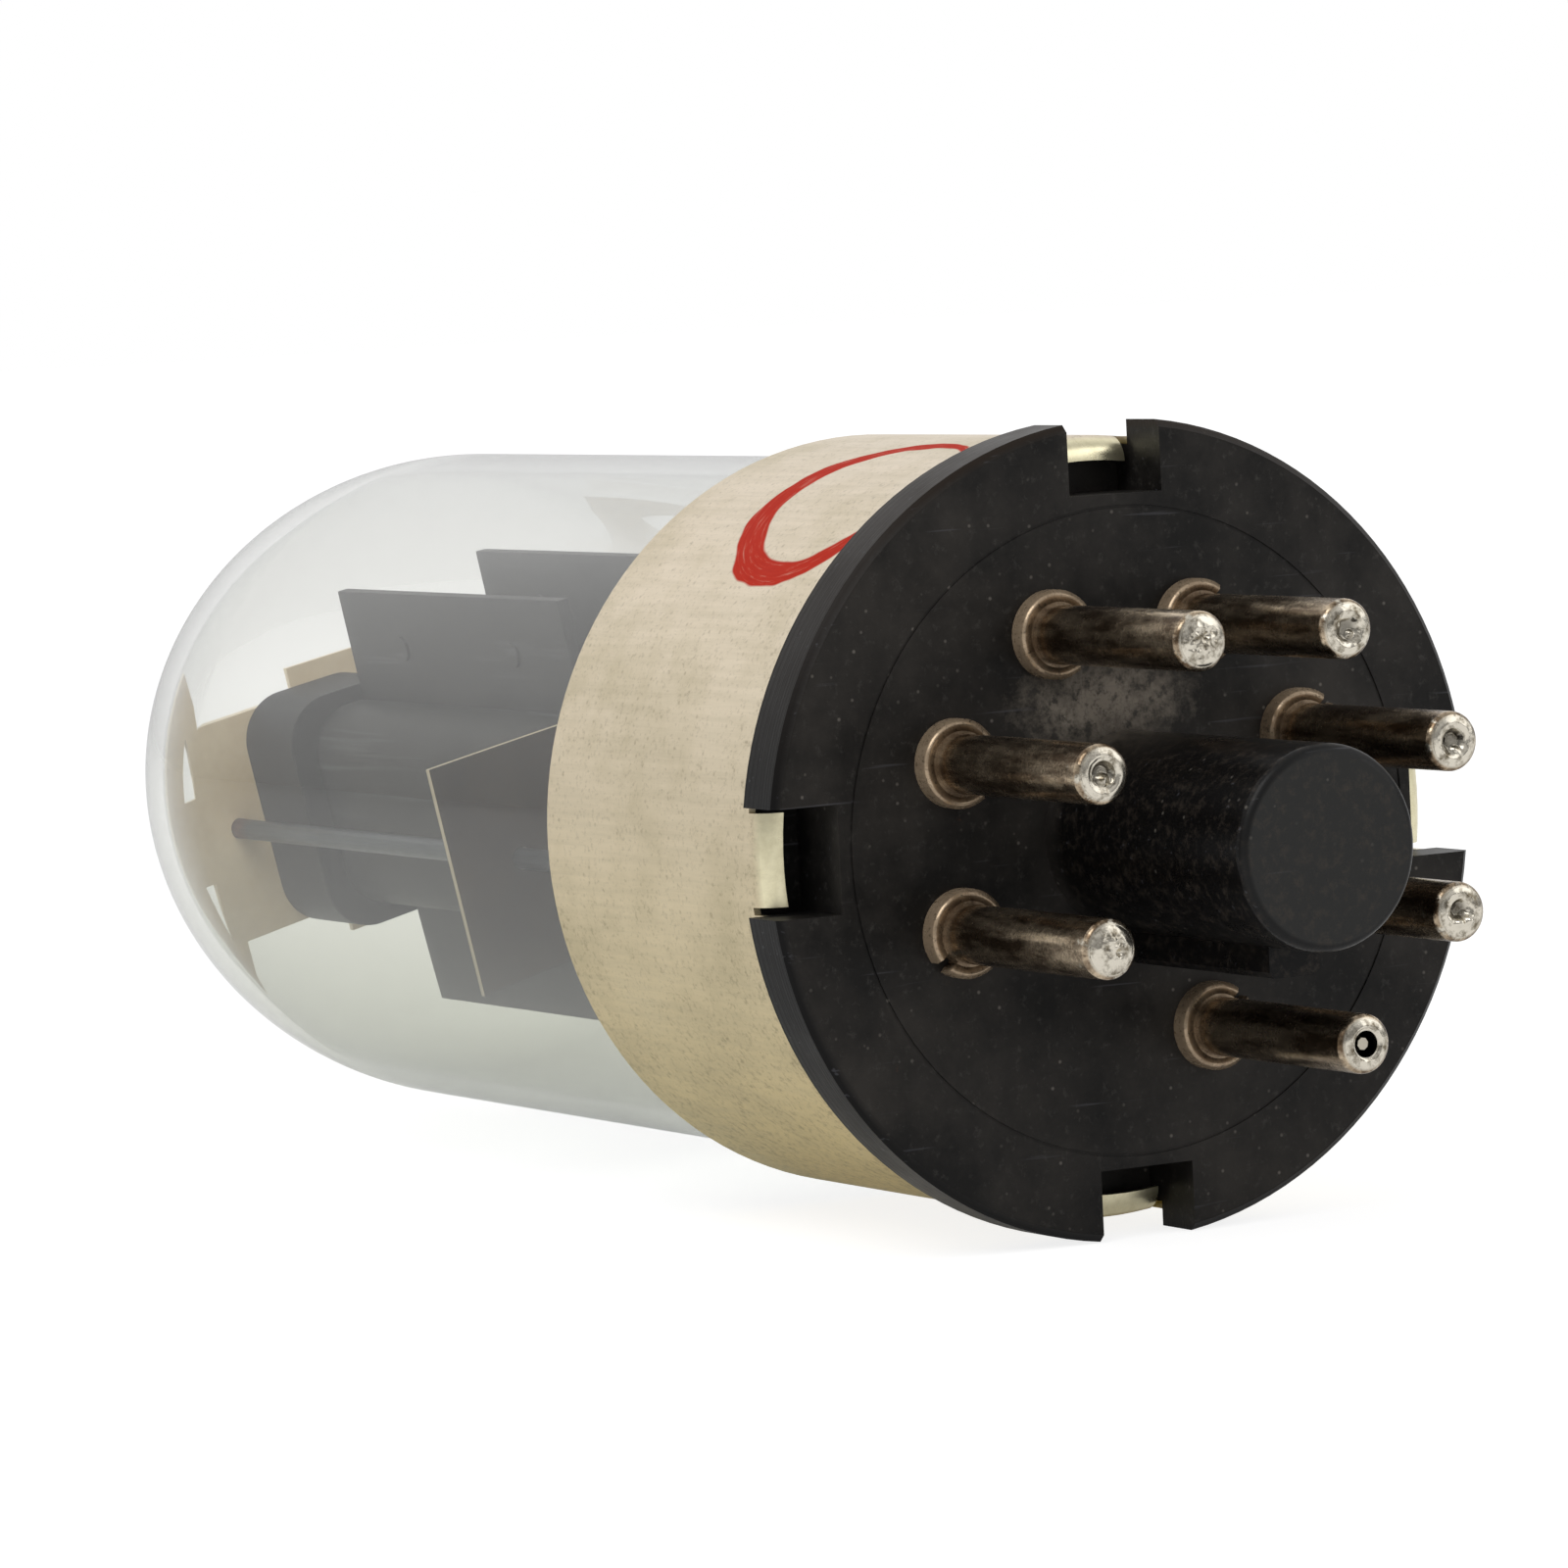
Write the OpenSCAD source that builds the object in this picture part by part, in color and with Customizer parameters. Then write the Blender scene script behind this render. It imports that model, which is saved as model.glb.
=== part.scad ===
// Twin triode tube with a seven-pin octal base, lying on its side.
// The tube's axis is X: the pins point to +X and the glass dome to -X, with the key of the base
// turned down to -Z. X = 0 is the outer face of the base wafer.
// Every piece is drawn upright along Z, with the key towards +X, and lay_down() then turns it.

/* [Base wafer] */
// How far the flange that seats on the socket stands out beyond the sleeve
flange_over = 0.68; // [0.5:0.02:1.2]
// Thickness of the flange at its rim
flange_t = 2.4; // [2:0.1:3.2]
// Bevel round the front edge of the flange
flange_bevel = 0.3; // [0.1:0.05:0.6]
// Thickness of the plate inside the sleeve
plate_t = 3.4; // [3.2:0.1:4.4]
// Depth of the rim that fits inside the sleeve, behind the flange
boss_depth = 3; // [2:0.1:4]
// Wall of that rim
boss_wall = 2.6; // [2.5:0.05:3.2]
// Distance from the rim to the fine ring line in the moulded face
witness_inset = 3.48; // [3.2:0.02:4.2]
// Width and depth of the ring line
witness_cut = 0.12; // [0.05:0.01:0.3]
// Width of each of the four notches in the flange
notch_w = 4.3; // [3.6:0.1:5.4]
// How far the floor of each notch lies inside the sleeve's outer face
notch_inset = 2.3; // [1.4:0.1:2.4]
// How far each notch is cut behind the curl of its tab
notch_play = 0.1; // [0.05:0.01:0.3]

/* [Key post] */
// Diameter of the post
post_d = 8.02; // [7.6:0.02:8.6]
// Length of the post beyond the wafer
post_l = 14.12; // [12:0.02:16]
// Wall of the hollow post
post_wall = 1.1; // [0.8:0.05:1.5]
// Rounding at the end of the post
post_round = 0.4; // [0.2:0.05:0.8]
// Width of the key
key_w = 2.3; // [1.6:0.1:2.8]
// Distance from the axis to the outer face of the key
key_r = 5.1; // [4.8:0.05:5.6]
// Length of the key
key_l = 11.3; // [9:0.1:12]
// Bevel on the long edges of the key
key_bevel = 0.25; // [0.1:0.05:0.5]

/* [Pins] */
// Diameter of the pin circle
pin_circle_d = 17.45; // [17:0.01:18]
// Outer diameter of a pin
pin_d = 2.36; // [2.2:0.01:2.5]
// Length of a pin beyond the wafer
pin_l = 11; // [9:0.1:12]
// Length of a pin behind the wafer's plate
pin_back = 1.8; // [1:0.1:2.4]
// Bore of a pin
pin_bore = 1.6; // [1.4:0.05:1.7]
// Rounding at the tip of a pin
pin_round = 0.28; // [0.1:0.01:0.4]
// Wall across the tip of a pin
pin_tip_wall = 0.6; // [0.4:0.05:0.9]
// Hole in the tip of a pin
pin_tip_hole = 1.1; // [0.9:0.05:1.2]
// Diameter of the petalled collar that grips the wafer
collar_d = 3.56; // [3:0.02:4]
// Thickness of that collar
collar_t = 0.7; // [0.4:0.05:1]
// Step near the top of the collar
collar_step = 0.2; // [0.1:0.05:0.3]
// Gap between the ends of the collar's petals
collar_gap = 0.55; // [0.3:0.05:0.9]
// Depth of the solder inside a pin
solder_l = 2.4; // [1.5:0.1:4]
// How far the solder and the wire's end lie below the tip
solder_sink = 0.22; // [0.1:0.02:0.5]

/* [Base sleeve] */
// Outer diameter of the metal sleeve
sleeve_d = 31.4; // [31.2:0.02:31.6]
// Thickness of the sheet
sleeve_t = 0.3; // [0.2:0.05:0.4]
// Distance from the wafer's face to the open edge of the sleeve
sleeve_end = 19.83; // [18:0.01:24]
// Width of each tab that is curled into a notch
tab_w = 3.7; // [3:0.1:4.2]
// How far a tab's end lies below the wafer's face
tab_sink = 2.15; // [1.9:0.05:2.3]
// Outer radius of a tab's curl
tab_curl = 1; // [0.8:0.05:1.1]
// Distance from the sleeve's open edge to the cement
cement_sink = 0.8; // [0.4:0.1:2]
// Length of the cement ring
cement_l = 6; // [3:0.1:7]

/* [Bulb] */
// Gap between the sleeve and the glass
cement_gap = 0.65; // [0.5:0.05:0.9]
// Wall of the glass
bulb_wall = 0.8; // [0.6:0.05:1]
// Distance from the wafer's face to the tip of the dome
bulb_top = 74.8; // [73.5:0.1:80]
// Length of the dome
dome_l = 19.2; // [18.2:0.1:20.5]
// Radius of the round tip of the dome
dome_tip_r = 11.8; // [11:0.1:12.4]
// Distance from the wafer's face to the bottom of the bulb
foot = 8; // [7.5:0.1:8.8]
// Radius of the turn at the bottom of the bulb
foot_r = 4; // [3:0.1:4.6]

/* [Stem] */
// Outer diameter of the stem's tube
stem_d = 13; // [12.8:0.1:14]
// Wall of the stem
stem_wall = 0.8; // [0.6:0.05:1]
// Distance from the wafer's face to the roof of the stem
stem_roof = 17.9; // [17.5:0.1:19]
// Thickness of that roof
roof_t = 1.1; // [0.8:0.1:1.5]
// Distance from the wafer's face to the end of the flattened press
press_end = 26.5; // [25.5:0.1:27]
// Width of the press
press_w = 14; // [13.6:0.1:15]
// Thickness of the press
press_t = 3; // [2:0.1:4]
// Outer diameter of the exhaust tube
exhaust_d = 3.8; // [3:0.1:4.2]
// Wall of the exhaust tube
exhaust_wall = 0.7; // [0.5:0.05:0.9]
// How far the exhaust tube reaches into the post
exhaust_reach = 5; // [3:0.1:7]

/* [Wires] */
// Diameter of a lead wire
lead_d = 0.5; // [0.4:0.02:0.54]
// Distance from the axis to the first lead in the press
lead_first = 2.5; // [2.4:0.05:2.6]
// Spacing of the four leads on the right of the press
lead_pitch_right = 0.85; // [0.8:0.01:0.87]
// Spacing of the three leads on the left of the press
lead_pitch_left = 1.25; // [1:0.05:1.3]
// Distance from the wafer's face to the lower bend of a lead
lead_bend_low = 11; // [10.6:0.1:11.4]
// Distance from the press to the upper bend of a lead
lead_bend_rise = 0.7; // [0.5:0.1:1]
// Radius of the bends in the wires
bend_radius = 1.1; // [0.8:0.1:1.3]
// Diameter of a support rod
support_d = 0.9; // [0.7:0.05:1]
// Distance from the axis to a support rod
support_x = 9.2; // [8.9:0.05:9.4]
// Distance from the axis to a support rod where it leaves the press
support_press_x = 6.1; // [6:0.05:6.2]
// Depth of a support rod in the press
support_bite = 5.5; // [4:0.1:6.5]
// How far a support rod stands beyond the top mica
support_over = 1; // [0.5:0.1:1.5]

/* [Electrode cage] */
// Turn of the cage about the tube's axis, from the key
cage_turn = 102.4; // [98:0.1:108]
// Distance between the two triodes
triode_pitch = 7.32; // [7.2:0.02:7.6]
// Distance from the wafer's face to the lower mica
lower_mica_at = 34; // [33.5:0.1:35]
// Distance from the wafer's face to the upper mica
upper_mica_at = 61.8; // [60.5:0.1:62]
// Gap between the upper mica and the top mica that backs it
mica_gap = 0.05; // [0.02:0.01:0.2]
// Thickness of the mica
mica_t = 0.3; // [0.2:0.05:0.5]
// Distance from the glass to the ends of the lower mica
lower_mica_inset = 1.45; // [1:0.05:2.4]
// Half width of the lower mica
lower_mica_side = 4.9; // [4.7:0.1:6]
// How far the upper mica reaches beyond the centre of a support rod, up to its slots
mica_land = 1.9; // [1.8:0.05:2]
// How far the top mica reaches beyond the centre of a support rod
top_mica_land = 0.9; // [0.7:0.05:1]
// Half width of the upper mica in its middle
upper_mica_side = 6.3; // [6:0.1:7]
// Half length of that wide middle
mica_middle = 5; // [4.6:0.1:5.4]
// Half width of the upper mica beside its middle
mica_neck_side = 5; // [4.9:0.05:5.4]
// Width of the springy strips that bear on the glass at both ends of the upper mica
finger_w = 0.75; // [0.6:0.05:0.8]
// How far those strips' ends stand in from the slots
finger_in = 0.8; // [0.6:0.05:0.9]
// Half width of the bridge between the two slots behind a strip
mica_bridge = 2; // [1.6:0.1:2.4]

/* [Anodes] */
// Half thickness of an anode's box
anode_half_w = 3.1; // [3:0.05:3.2]
// Half height of an anode's box
anode_half_h = 4.7; // [4.6:0.05:5]
// Thickness of the anode sheet
anode_t = 0.25; // [0.2:0.05:0.3]
// Corner radius of an anode's box
anode_corner = 2.2; // [1.5:0.1:2.4]
// Length of the wider cuff at an anode's end towards the dome
cuff_l = 4.5; // [3.6:0.1:4.7]
// How far the cuff stands out at the outer side of an anode
cuff_out = 1.15; // [0.9:0.05:1.3]
// How far the cuff stands out above and below
cuff_rise = 0.7; // [0.4:0.05:0.9]
// Distance from the centre of an anode to the edge of its fins
fin_edge = 9.7; // [9:0.1:10.4]
// How far the fins end short of the box towards the dome
fin_short_top = 5; // [4.8:0.1:6]
// How far the fins end short of the box towards the base
fin_short_low = 1.2; // [0.8:0.1:2]
// Width of the ears that pass through the mica
ear_w = 2; // [1.5:0.1:2.6]
// How far the ears stand beyond the mica
ear_over = 1.2; // [0.9:0.1:1.5]
// Diameter of the staked spots that join the two halves of an anode
stake_d = 1.1; // [0.8:0.1:1.4]
// Height of a staked spot
stake_h = 0.12; // [0.05:0.01:0.2]

/* [Grids, cathodes and heaters] */
// Diameter of a grid's side rod
grid_rod_d = 0.8; // [0.6:0.05:0.9]
// Distance from a triode's centre to its grid rods
grid_rod_y = 3.5; // [3.3:0.05:3.6]
// Diameter of the grid wire
grid_wire_d = 0.14; // [0.1:0.01:0.2]
// Half width of the grid
grid_half_w = 1.6; // [1.4:0.05:1.8]
// Pitch of the grid's winding
grid_pitch = 1.7; // [1.5:0.1:2.4]
// Distance from each mica to the grid's winding
grid_margin = 2.6; // [2:0.1:4]
// Diameter of a cathode's sleeve
cathode_d = 1.6; // [1.5:0.05:1.7]
// Wall of a cathode's sleeve
cathode_wall = 0.1; // [0.08:0.01:0.12]
// Thickness of the white coat on a cathode
coat_t = 0.08; // [0.05:0.01:0.12]
// Distance between the legs of a heater
heater_gap = 0.7; // [0.6:0.02:0.8]
// Diameter of a heater's coated wire
heater_d = 0.44; // [0.36:0.02:0.5]
// Distance from the lower mica to the ends of the heater's legs
heater_drop = 3.4; // [3.2:0.1:3.6]
// Distance from the lower mica to the ends of the grid rods
grid_drop = 2.1; // [1.8:0.1:2.4]
// How far the grid rods stand beyond the upper mica
grid_over = 1.8; // [1:0.1:2.4]
// Distance from the lower mica to the end of a cathode
cathode_drop = 2.2; // [2.1:0.05:2.4]
// How far the cathodes stand beyond the upper mica
cathode_over = 1.2; // [0.8:0.1:2]
// Thickness of the strap between the cathodes
strap_t = 0.2; // [0.15:0.01:0.25]
// Width of that strap
strap_w = 0.6; // [0.4:0.05:0.7]
// Distance from the end of a cathode to the strap
strap_margin = 0.1; // [0.05:0.01:0.15]
// Diameter of the getter's cup
getter_d = 3; // [2.4:0.1:3.2]
// Depth of the getter's cup
getter_h = 0.9; // [0.6:0.1:1.2]
// Wall of the getter's cup
getter_wall = 0.2; // [0.15:0.05:0.3]

/* [Hidden] */

// Clearance where a piece sits in or against another
seat = 0.02;
// Clearance of the holes in the micas
mica_fit = 0.03;
// Clearance between the micas and the glass
mica_play = 0.1;
// Straight length of a lead between the back of its pin and its first bend
lead_straight = 1;
// Straight length of the leads below the heaters
lead_rise = 0.8;
// How far the anodes' leads end short of the lower mica
lead_short = 0.1;
// Distance from the centre of triode 1 to the lead of the cathodes
cathode_lead_in = 1.5;
// Overlap that lets a cut run past a face
past = 1;

sleeve_r = sleeve_d / 2;
sleeve_in_r = sleeve_r - sleeve_t;
flange_r = sleeve_r + flange_over;
tab_bend = tab_sink + tab_curl;
witness_r = flange_r - witness_inset;
notch_floor_r = sleeve_r - notch_inset;
boss_r = sleeve_in_r - seat;
post_r = post_d / 2;
pin_r = pin_d / 2;
pin_circle_r = pin_circle_d / 2;
lead_r = lead_d / 2;
support_r = support_d / 2;

// The bulb is a cylinder, a side arc and a round tip, each tangent to the next.
bulb_r = sleeve_in_r - cement_gap;
dome_at = bulb_top - dome_l;
tip_centre = bulb_top - dome_tip_r;
tip_offset = tip_centre - dome_at;
side_arc_r = (pow(dome_tip_r, 2) - pow(bulb_r, 2) - pow(tip_offset, 2)) / (2 * (dome_tip_r - bulb_r));
arc_turn = atan2(tip_offset, side_arc_r - bulb_r);
seal_r = bulb_r - foot_r;
function bulb_inside(at) = at < dome_at ? bulb_r - bulb_wall
    : bulb_r - side_arc_r + sqrt(pow(side_arc_r - bulb_wall, 2) - pow(at - dome_at, 2));

stem_r = stem_d / 2;
flare_r = seal_r - seat - stem_r;
exhaust_r = exhaust_d / 2;

// Places of the electrodes in the cage: triode 1 is on the far side, triode 2 on the near side.
triode_x = triode_pitch / 2;
function side(triode) = triode == 1 ? 1 : -1;
top_mica_at = upper_mica_at + mica_t + mica_gap;
ear_x = anode_half_w - anode_t / 2;
lower_mica_half = bulb_r - bulb_wall - lower_mica_inset;
upper_mica_half = support_x + mica_land;
top_mica_half = support_x + top_mica_land;
anode_low = lower_mica_at + mica_t + seat;
anode_top = upper_mica_at - seat;
rod_top = upper_mica_at + mica_t + grid_over;
rod_low = lower_mica_at - grid_drop;
leg_low = lower_mica_at - heater_drop;
cathode_top = upper_mica_at + mica_t + cathode_over;
cathode_low = lower_mica_at - cathode_drop;
bend_high = press_end + lead_bend_rise;
bend_end = leg_low - lead_rise;

// A lead's place across the press, with the sign of its side, then where it ends below the cage.
function press_x(k) = k == 3 ? -lead_first - 2 * lead_pitch_left
    : k == 2 ? -lead_first - lead_pitch_left
    : k == 4 ? -lead_first
    : k == 8 ? lead_first
    : k == 5 ? lead_first + lead_pitch_right
    : k == 7 ? lead_first + 2 * lead_pitch_right
    : lead_first + 3 * lead_pitch_right;
cathode_lead_x = triode_x - cathode_lead_in;
anode_lead_x = triode_x + ear_x + anode_t / 2 + seat + lead_r;
heater_lead_x = triode_x + heater_gap / 2;
strap_y = cathode_d / 2 + seat + strap_t;
function lead_target(k) = k == 3 ? [-anode_lead_x, 0, lower_mica_at - lead_short]
    : k == 6 ? [anode_lead_x, 0, lower_mica_at - lead_short]
    : k == 4 ? [-triode_x, grid_rod_y, rod_low - seat]
    : k == 5 ? [triode_x, grid_rod_y, rod_low - seat]
    : k == 8 ? [cathode_lead_x, -strap_y - seat - lead_r, cathode_low + strap_margin + strap_w]
    : k == 2 ? [-heater_lead_x, 0, leg_low - seat]
    : [heater_lead_x, 0, leg_low - seat];

// Pin k stands at this turn from the key, clockwise as seen from below.
function pin_turn(k) = 22.5 + 45 * (k - 1);
// The gap of a collar, as a turn from the downward direction.
function gap_turn(k) = k == 2 ? -45 : k < 5 ? 45 : 135;
function pin_place(k, z) = [
    pin_circle_r * cos(-pin_turn(k) - cage_turn), pin_circle_r * sin(-pin_turn(k) - cage_turn), z
];

module lay_down() {
    rotate([0, 90, 0]) children();
}

// The cage is drawn with its triodes side by side along X, and its fins along Y.
module in_cage() {
    lay_down() rotate([0, 0, cage_turn]) children();
}

// A slab between two distances from the wafer's face, both towards the dome.
module slab(from, to) {
    translate([0, 0, -to]) linear_extrude(to - from) children();
}

module stadium(length, width) {
    square([length - width, width], center = true);
    for (end = [-1, 1])
        translate([end * (length - width) / 2, 0]) circle(d = width, $fn = 48);
}

module rounded_box(half_w, half_h, corner) {
    square([2 * half_w, 2 * (half_h - corner)], center = true);
    square([2 * (half_w - corner), 2 * half_h], center = true);
    for (x = [-1, 1])
        for (y = [-1, 1])
            translate([x * (half_w - corner), y * (half_h - corner)]) circle(corner, $fn = 48);
}

// A half section with a rounded outer end, for a turned peg.
module peg_section(r, length, round) {
    square([r - round, length]);
    square([r, length - round]);
    translate([r - round, length - round]) circle(round, $fn = 32);
}

// Round wire swept along a path. Each ring is square to the path, and its first corner points to ref.
function unit(v) = v / norm(v);
function course(path, i) = unit(path[min(i + 1, len(path) - 1)] - path[max(i - 1, 0)]);
function ring(path, i, r, sides, ref) =
    let (
        ahead = course(path, i),
        first = unit(ref - (ref * ahead) * ahead),
        second = cross(ahead, first)
    )
    [
        for (c = [0 : sides - 1])
            let (a = 360 * c / sides)
            path[i] + r * (cos(a) * first + sin(a) * second)
    ];

module swept_wire(path, r, sides, ref) {
    last = (len(path) - 1) * sides;
    polyhedron(
        points = [for (i = [0 : len(path) - 1]) each ring(path, i, r, sides, ref)],
        faces = concat(
            [[for (c = [0 : sides - 1]) c]],
            [
                for (i = [0 : len(path) - 2])
                    for (c = [0 : sides - 1])
                        let (a = i * sides + c, b = i * sides + (c + 1) % sides)
                        each [[a, a + sides, b + sides], [a, b + sides, b]]
            ],
            [[for (c = [sides - 1 : -1 : 0]) last + c]]
        )
    );
}

// A path with its corners rounded: each inner corner becomes an arc of the bend radius.
bend_steps = 3;
function rounded_corner(before, corner, after) =
    let (
        along = unit(corner - before),
        onward = unit(after - corner),
        angle = acos(along * onward),
        inward = unit(onward - (onward * along) * along),
        start = corner - along * bend_radius * tan(angle / 2),
        centre = start + inward * bend_radius
    )
    [
        for (step = [0 : bend_steps])
            let (a = angle * step / bend_steps)
            centre + bend_radius * (sin(a) * along - cos(a) * inward)
    ];
function rounded_path(points) = concat(
    [points[0]],
    [for (i = [1 : len(points) - 2]) each rounded_corner(points[i - 1], points[i], points[i + 1])],
    [points[len(points) - 1]]
);

// The moulded wafer: flange, plate, rim, hollow post and key in one piece.
module wafer_section() {
    polygon([
        [0, -plate_t], [boss_r - boss_wall, -plate_t],
        [boss_r - boss_wall, -flange_t - boss_depth], [boss_r, -flange_t - boss_depth],
        [boss_r, -flange_t], [flange_r, -flange_t], [flange_r, -flange_bevel],
        [flange_r - flange_bevel, 0], [0, 0]
    ]);
}

module key_rib() {
    half = key_w / 2;
    linear_extrude(key_l)
        polygon([
            [0, -half], [key_r - key_bevel, -half], [key_r, key_bevel - half],
            [key_r, half - key_bevel], [key_r - key_bevel, half], [0, half]
        ]);
}

module base_wafer() color("#2b2a2c") lay_down() difference() {
    union() {
        rotate_extrude($fn = 180) wafer_section();
        rotate_extrude($fn = 96) peg_section(post_r, post_l, post_round);
        key_rib();
    }
    translate([0, 0, -plate_t - past])
        cylinder(h = plate_t + past + post_l - post_wall, r = post_r - post_wall, $fn = 72);
    for (k = [2 : 8])
        rotate([0, 0, -pin_turn(k)])
            translate([pin_circle_r, 0, -plate_t - past])
                cylinder(h = plate_t + 2 * past, r = pin_r + seat, $fn = 48);
    for (quarter = [0 : 3])
        rotate([0, 0, 90 * quarter])
            translate([notch_floor_r, -notch_w / 2, -tab_bend - notch_play])
                cube([flange_r, notch_w, tab_bend + notch_play + past]);
    rotate_extrude($fn = 180)
        translate([witness_r - witness_cut / 2, -witness_cut / 2]) square([witness_cut, witness_cut]);
}

// The sheet metal sleeve. At each notch its edge is slit twice, and the tab between the slits is curled
// inward over the wafer.
module tab_section() {
    translate([sleeve_r - tab_curl, -tab_bend])
        intersection() {
            difference() {
                circle(tab_curl, $fn = 48);
                circle(tab_curl - sleeve_t, $fn = 48);
            }
            square(tab_curl);
        }
}

module base_sleeve() color("#c5bb9c") lay_down() union() {
    difference() {
        rotate_extrude($fn = 180)
            translate([sleeve_in_r, -sleeve_end]) square([sleeve_t, sleeve_end - flange_t]);
        for (quarter = [0 : 3])
            rotate([0, 0, 90 * quarter])
                translate([0, -notch_w / 2, -tab_bend]) cube([flange_r, notch_w, tab_bend]);
    }
    for (quarter = [0 : 3])
        rotate([0, 0, 90 * quarter])
            intersection() {
                rotate_extrude($fn = 180) tab_section();
                translate([0, -tab_w / 2, -tab_bend]) cube([flange_r, tab_w, tab_bend]);
            }
}

// The cement that holds the glass in the sleeve.
module base_cement() color("#8f8468") lay_down()
    rotate_extrude($fn = 180)
        translate([bulb_r + seat, -sleeve_end + cement_sink])
            square([sleeve_in_r - bulb_r - 2 * seat, cement_l]);

// The blown bulb: its outline is drawn once for the outside and once, set in by the wall, for the inside.
module bulb_outline(inset) {
    tip_r = dome_tip_r - inset;
    side_r = side_arc_r - inset;
    meet = tip_centre + tip_r * sin(arc_turn);
    translate([0, -dome_at]) square([bulb_r - inset, dome_at - foot - foot_r]);
    intersection() {
        translate([bulb_r - side_arc_r, -dome_at]) circle(side_r, $fn = 180);
        translate([0, -meet]) square([bulb_r, meet - dome_at]);
    }
    intersection() {
        translate([0, -tip_centre]) circle(tip_r, $fn = 120);
        translate([0, -bulb_top]) square([bulb_r, bulb_top - meet]);
    }
    intersection() {
        translate([seal_r, -foot - foot_r]) circle(foot_r - inset, $fn = 72);
        translate([seal_r, -foot - foot_r]) square(foot_r);
    }
    translate([0, -foot - foot_r]) square([seal_r, foot_r - inset]);
}

module glass_bulb() color("#dfe6e4", 0.35) lay_down()
    rotate_extrude($fn = 180)
        difference() {
            bulb_outline(0);
            bulb_outline(bulb_wall);
            translate([0, -foot - foot_r]) square([seal_r, foot_r + past]);
        }

// The stem: flare, tube, roof, flattened press and exhaust tube, drawn from glass tube in one piece.
module stem_section() {
    flare_at = foot + stem_wall + flare_r;
    translate([stem_r - stem_wall, -stem_roof - roof_t / 2])
        square([stem_wall, stem_roof + roof_t / 2 - flare_at]);
    translate([stem_r + flare_r, -flare_at])
        intersection() {
            difference() {
                circle(flare_r + stem_wall, $fn = 72);
                circle(flare_r, $fn = 72);
            }
            translate([-flare_r - stem_wall, 0]) square(flare_r + stem_wall);
        }
    translate([0, -stem_roof - roof_t]) square([stem_r - roof_t, roof_t]);
    intersection() {
        translate([stem_r - roof_t, -stem_roof]) circle(roof_t, $fn = 48);
        translate([0, -stem_roof - roof_t]) square([stem_r, roof_t]);
    }
}

module exhaust_section() {
    difference() {
        union() {
            translate([0, -stem_roof - seat]) square([exhaust_r, stem_roof + seat + exhaust_reach]);
            intersection() {
                translate([0, exhaust_reach]) circle(exhaust_r, $fn = 48);
                translate([0, exhaust_reach]) square(exhaust_r);
            }
        }
        translate([0, -stem_roof]) square([exhaust_r - exhaust_wall, stem_roof + exhaust_reach]);
    }
}

module glass_stem() color("#cfd8d4", 0.5) in_cage() difference() {
    union() {
        rotate_extrude($fn = 120) stem_section();
        rotate_extrude($fn = 60) exhaust_section();
        slab(stem_roof + roof_t / 2, press_end) stadium(press_w, press_t);
    }
    for (k = [2 : 8])
        translate([press_x(k), 0, -press_end - past])
            cylinder(h = press_end - stem_roof + 2 * past, r = lead_r + seat, $fn = 24);
    for (end = [-1, 1])
        translate([end * support_press_x, 0, -press_end - past])
            cylinder(h = support_bite + seat + past, r = support_r + seat, $fn = 32);
}

// A hollow pin, with the petalled collar that is pressed from its own wall.
module pin(k) color("#6d5f4e") lay_down() rotate([0, 0, -pin_turn(k)]) translate([pin_circle_r, 0, 0]) {
    difference() {
        union() {
            rotate_extrude($fn = 64) peg_section(pin_r, pin_l, pin_round);
            translate([0, 0, -plate_t - pin_back]) cylinder(h = plate_t + pin_back, r = pin_r, $fn = 64);
            difference() {
                rotate_extrude($fn = 64)
                    polygon([
                        [0, 0], [collar_d / 2, 0], [collar_d / 2, collar_t - collar_step],
                        [collar_d / 2 - collar_step, collar_t], [0, collar_t]
                    ]);
                rotate([0, 0, gap_turn(k) + pin_turn(k)])
                    translate([pin_r, -collar_gap / 2, -past])
                        cube([collar_d, collar_gap, collar_t + 2 * past]);
            }
        }
        translate([0, 0, -plate_t - pin_back - past])
            cylinder(h = plate_t + pin_back + past + pin_l - pin_tip_wall, d = pin_bore, $fn = 48);
        cylinder(h = pin_l + past, d = pin_tip_hole, $fn = 48);
    }
}

// The solder that fills a pin's tip round the end of its lead.
module solder(k) color("#c9c6be") lay_down() rotate([0, 0, -pin_turn(k)]) translate([pin_circle_r, 0, 0])
    difference() {
        union() {
            translate([0, 0, pin_l - pin_tip_wall - seat - solder_l])
                cylinder(h = solder_l, d = pin_bore - 2 * seat, $fn = 48);
            translate([0, 0, pin_l - pin_tip_wall - solder_l / 2])
                cylinder(
                    h = pin_tip_wall + solder_l / 2 - solder_sink, d = pin_tip_hole - 2 * seat, $fn = 48
                );
        }
        cylinder(h = pin_l, r = lead_r + seat, $fn = 24);
    }

// A lead: from the pin's tip up through the press to its electrode.
module lead(k) color("#9c8a72") in_cage() {
    target = lead_target(k);
    swept_wire(rounded_path([
        pin_place(k, pin_l - solder_sink), pin_place(k, -plate_t - pin_back - lead_straight),
        [press_x(k), 0, -lead_bend_low], [press_x(k), 0, -bend_high],
        [target[0], target[1], -bend_end], [target[0], target[1], -target[2]]
    ]), lead_r, 8, [0, 1, 0]);
}

// The support rods stand in the press and carry all three micas.
module support_rod(end) color("#8d8478") in_cage()
    swept_wire(rounded_path([
        [end * support_press_x, 0, -press_end + support_bite], [end * support_press_x, 0, -bend_high],
        [end * support_x, 0, -leg_low], [end * support_x, 0, -top_mica_at - mica_t - support_over]
    ]), support_r, 16, [0, 1, 0]);

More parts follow.
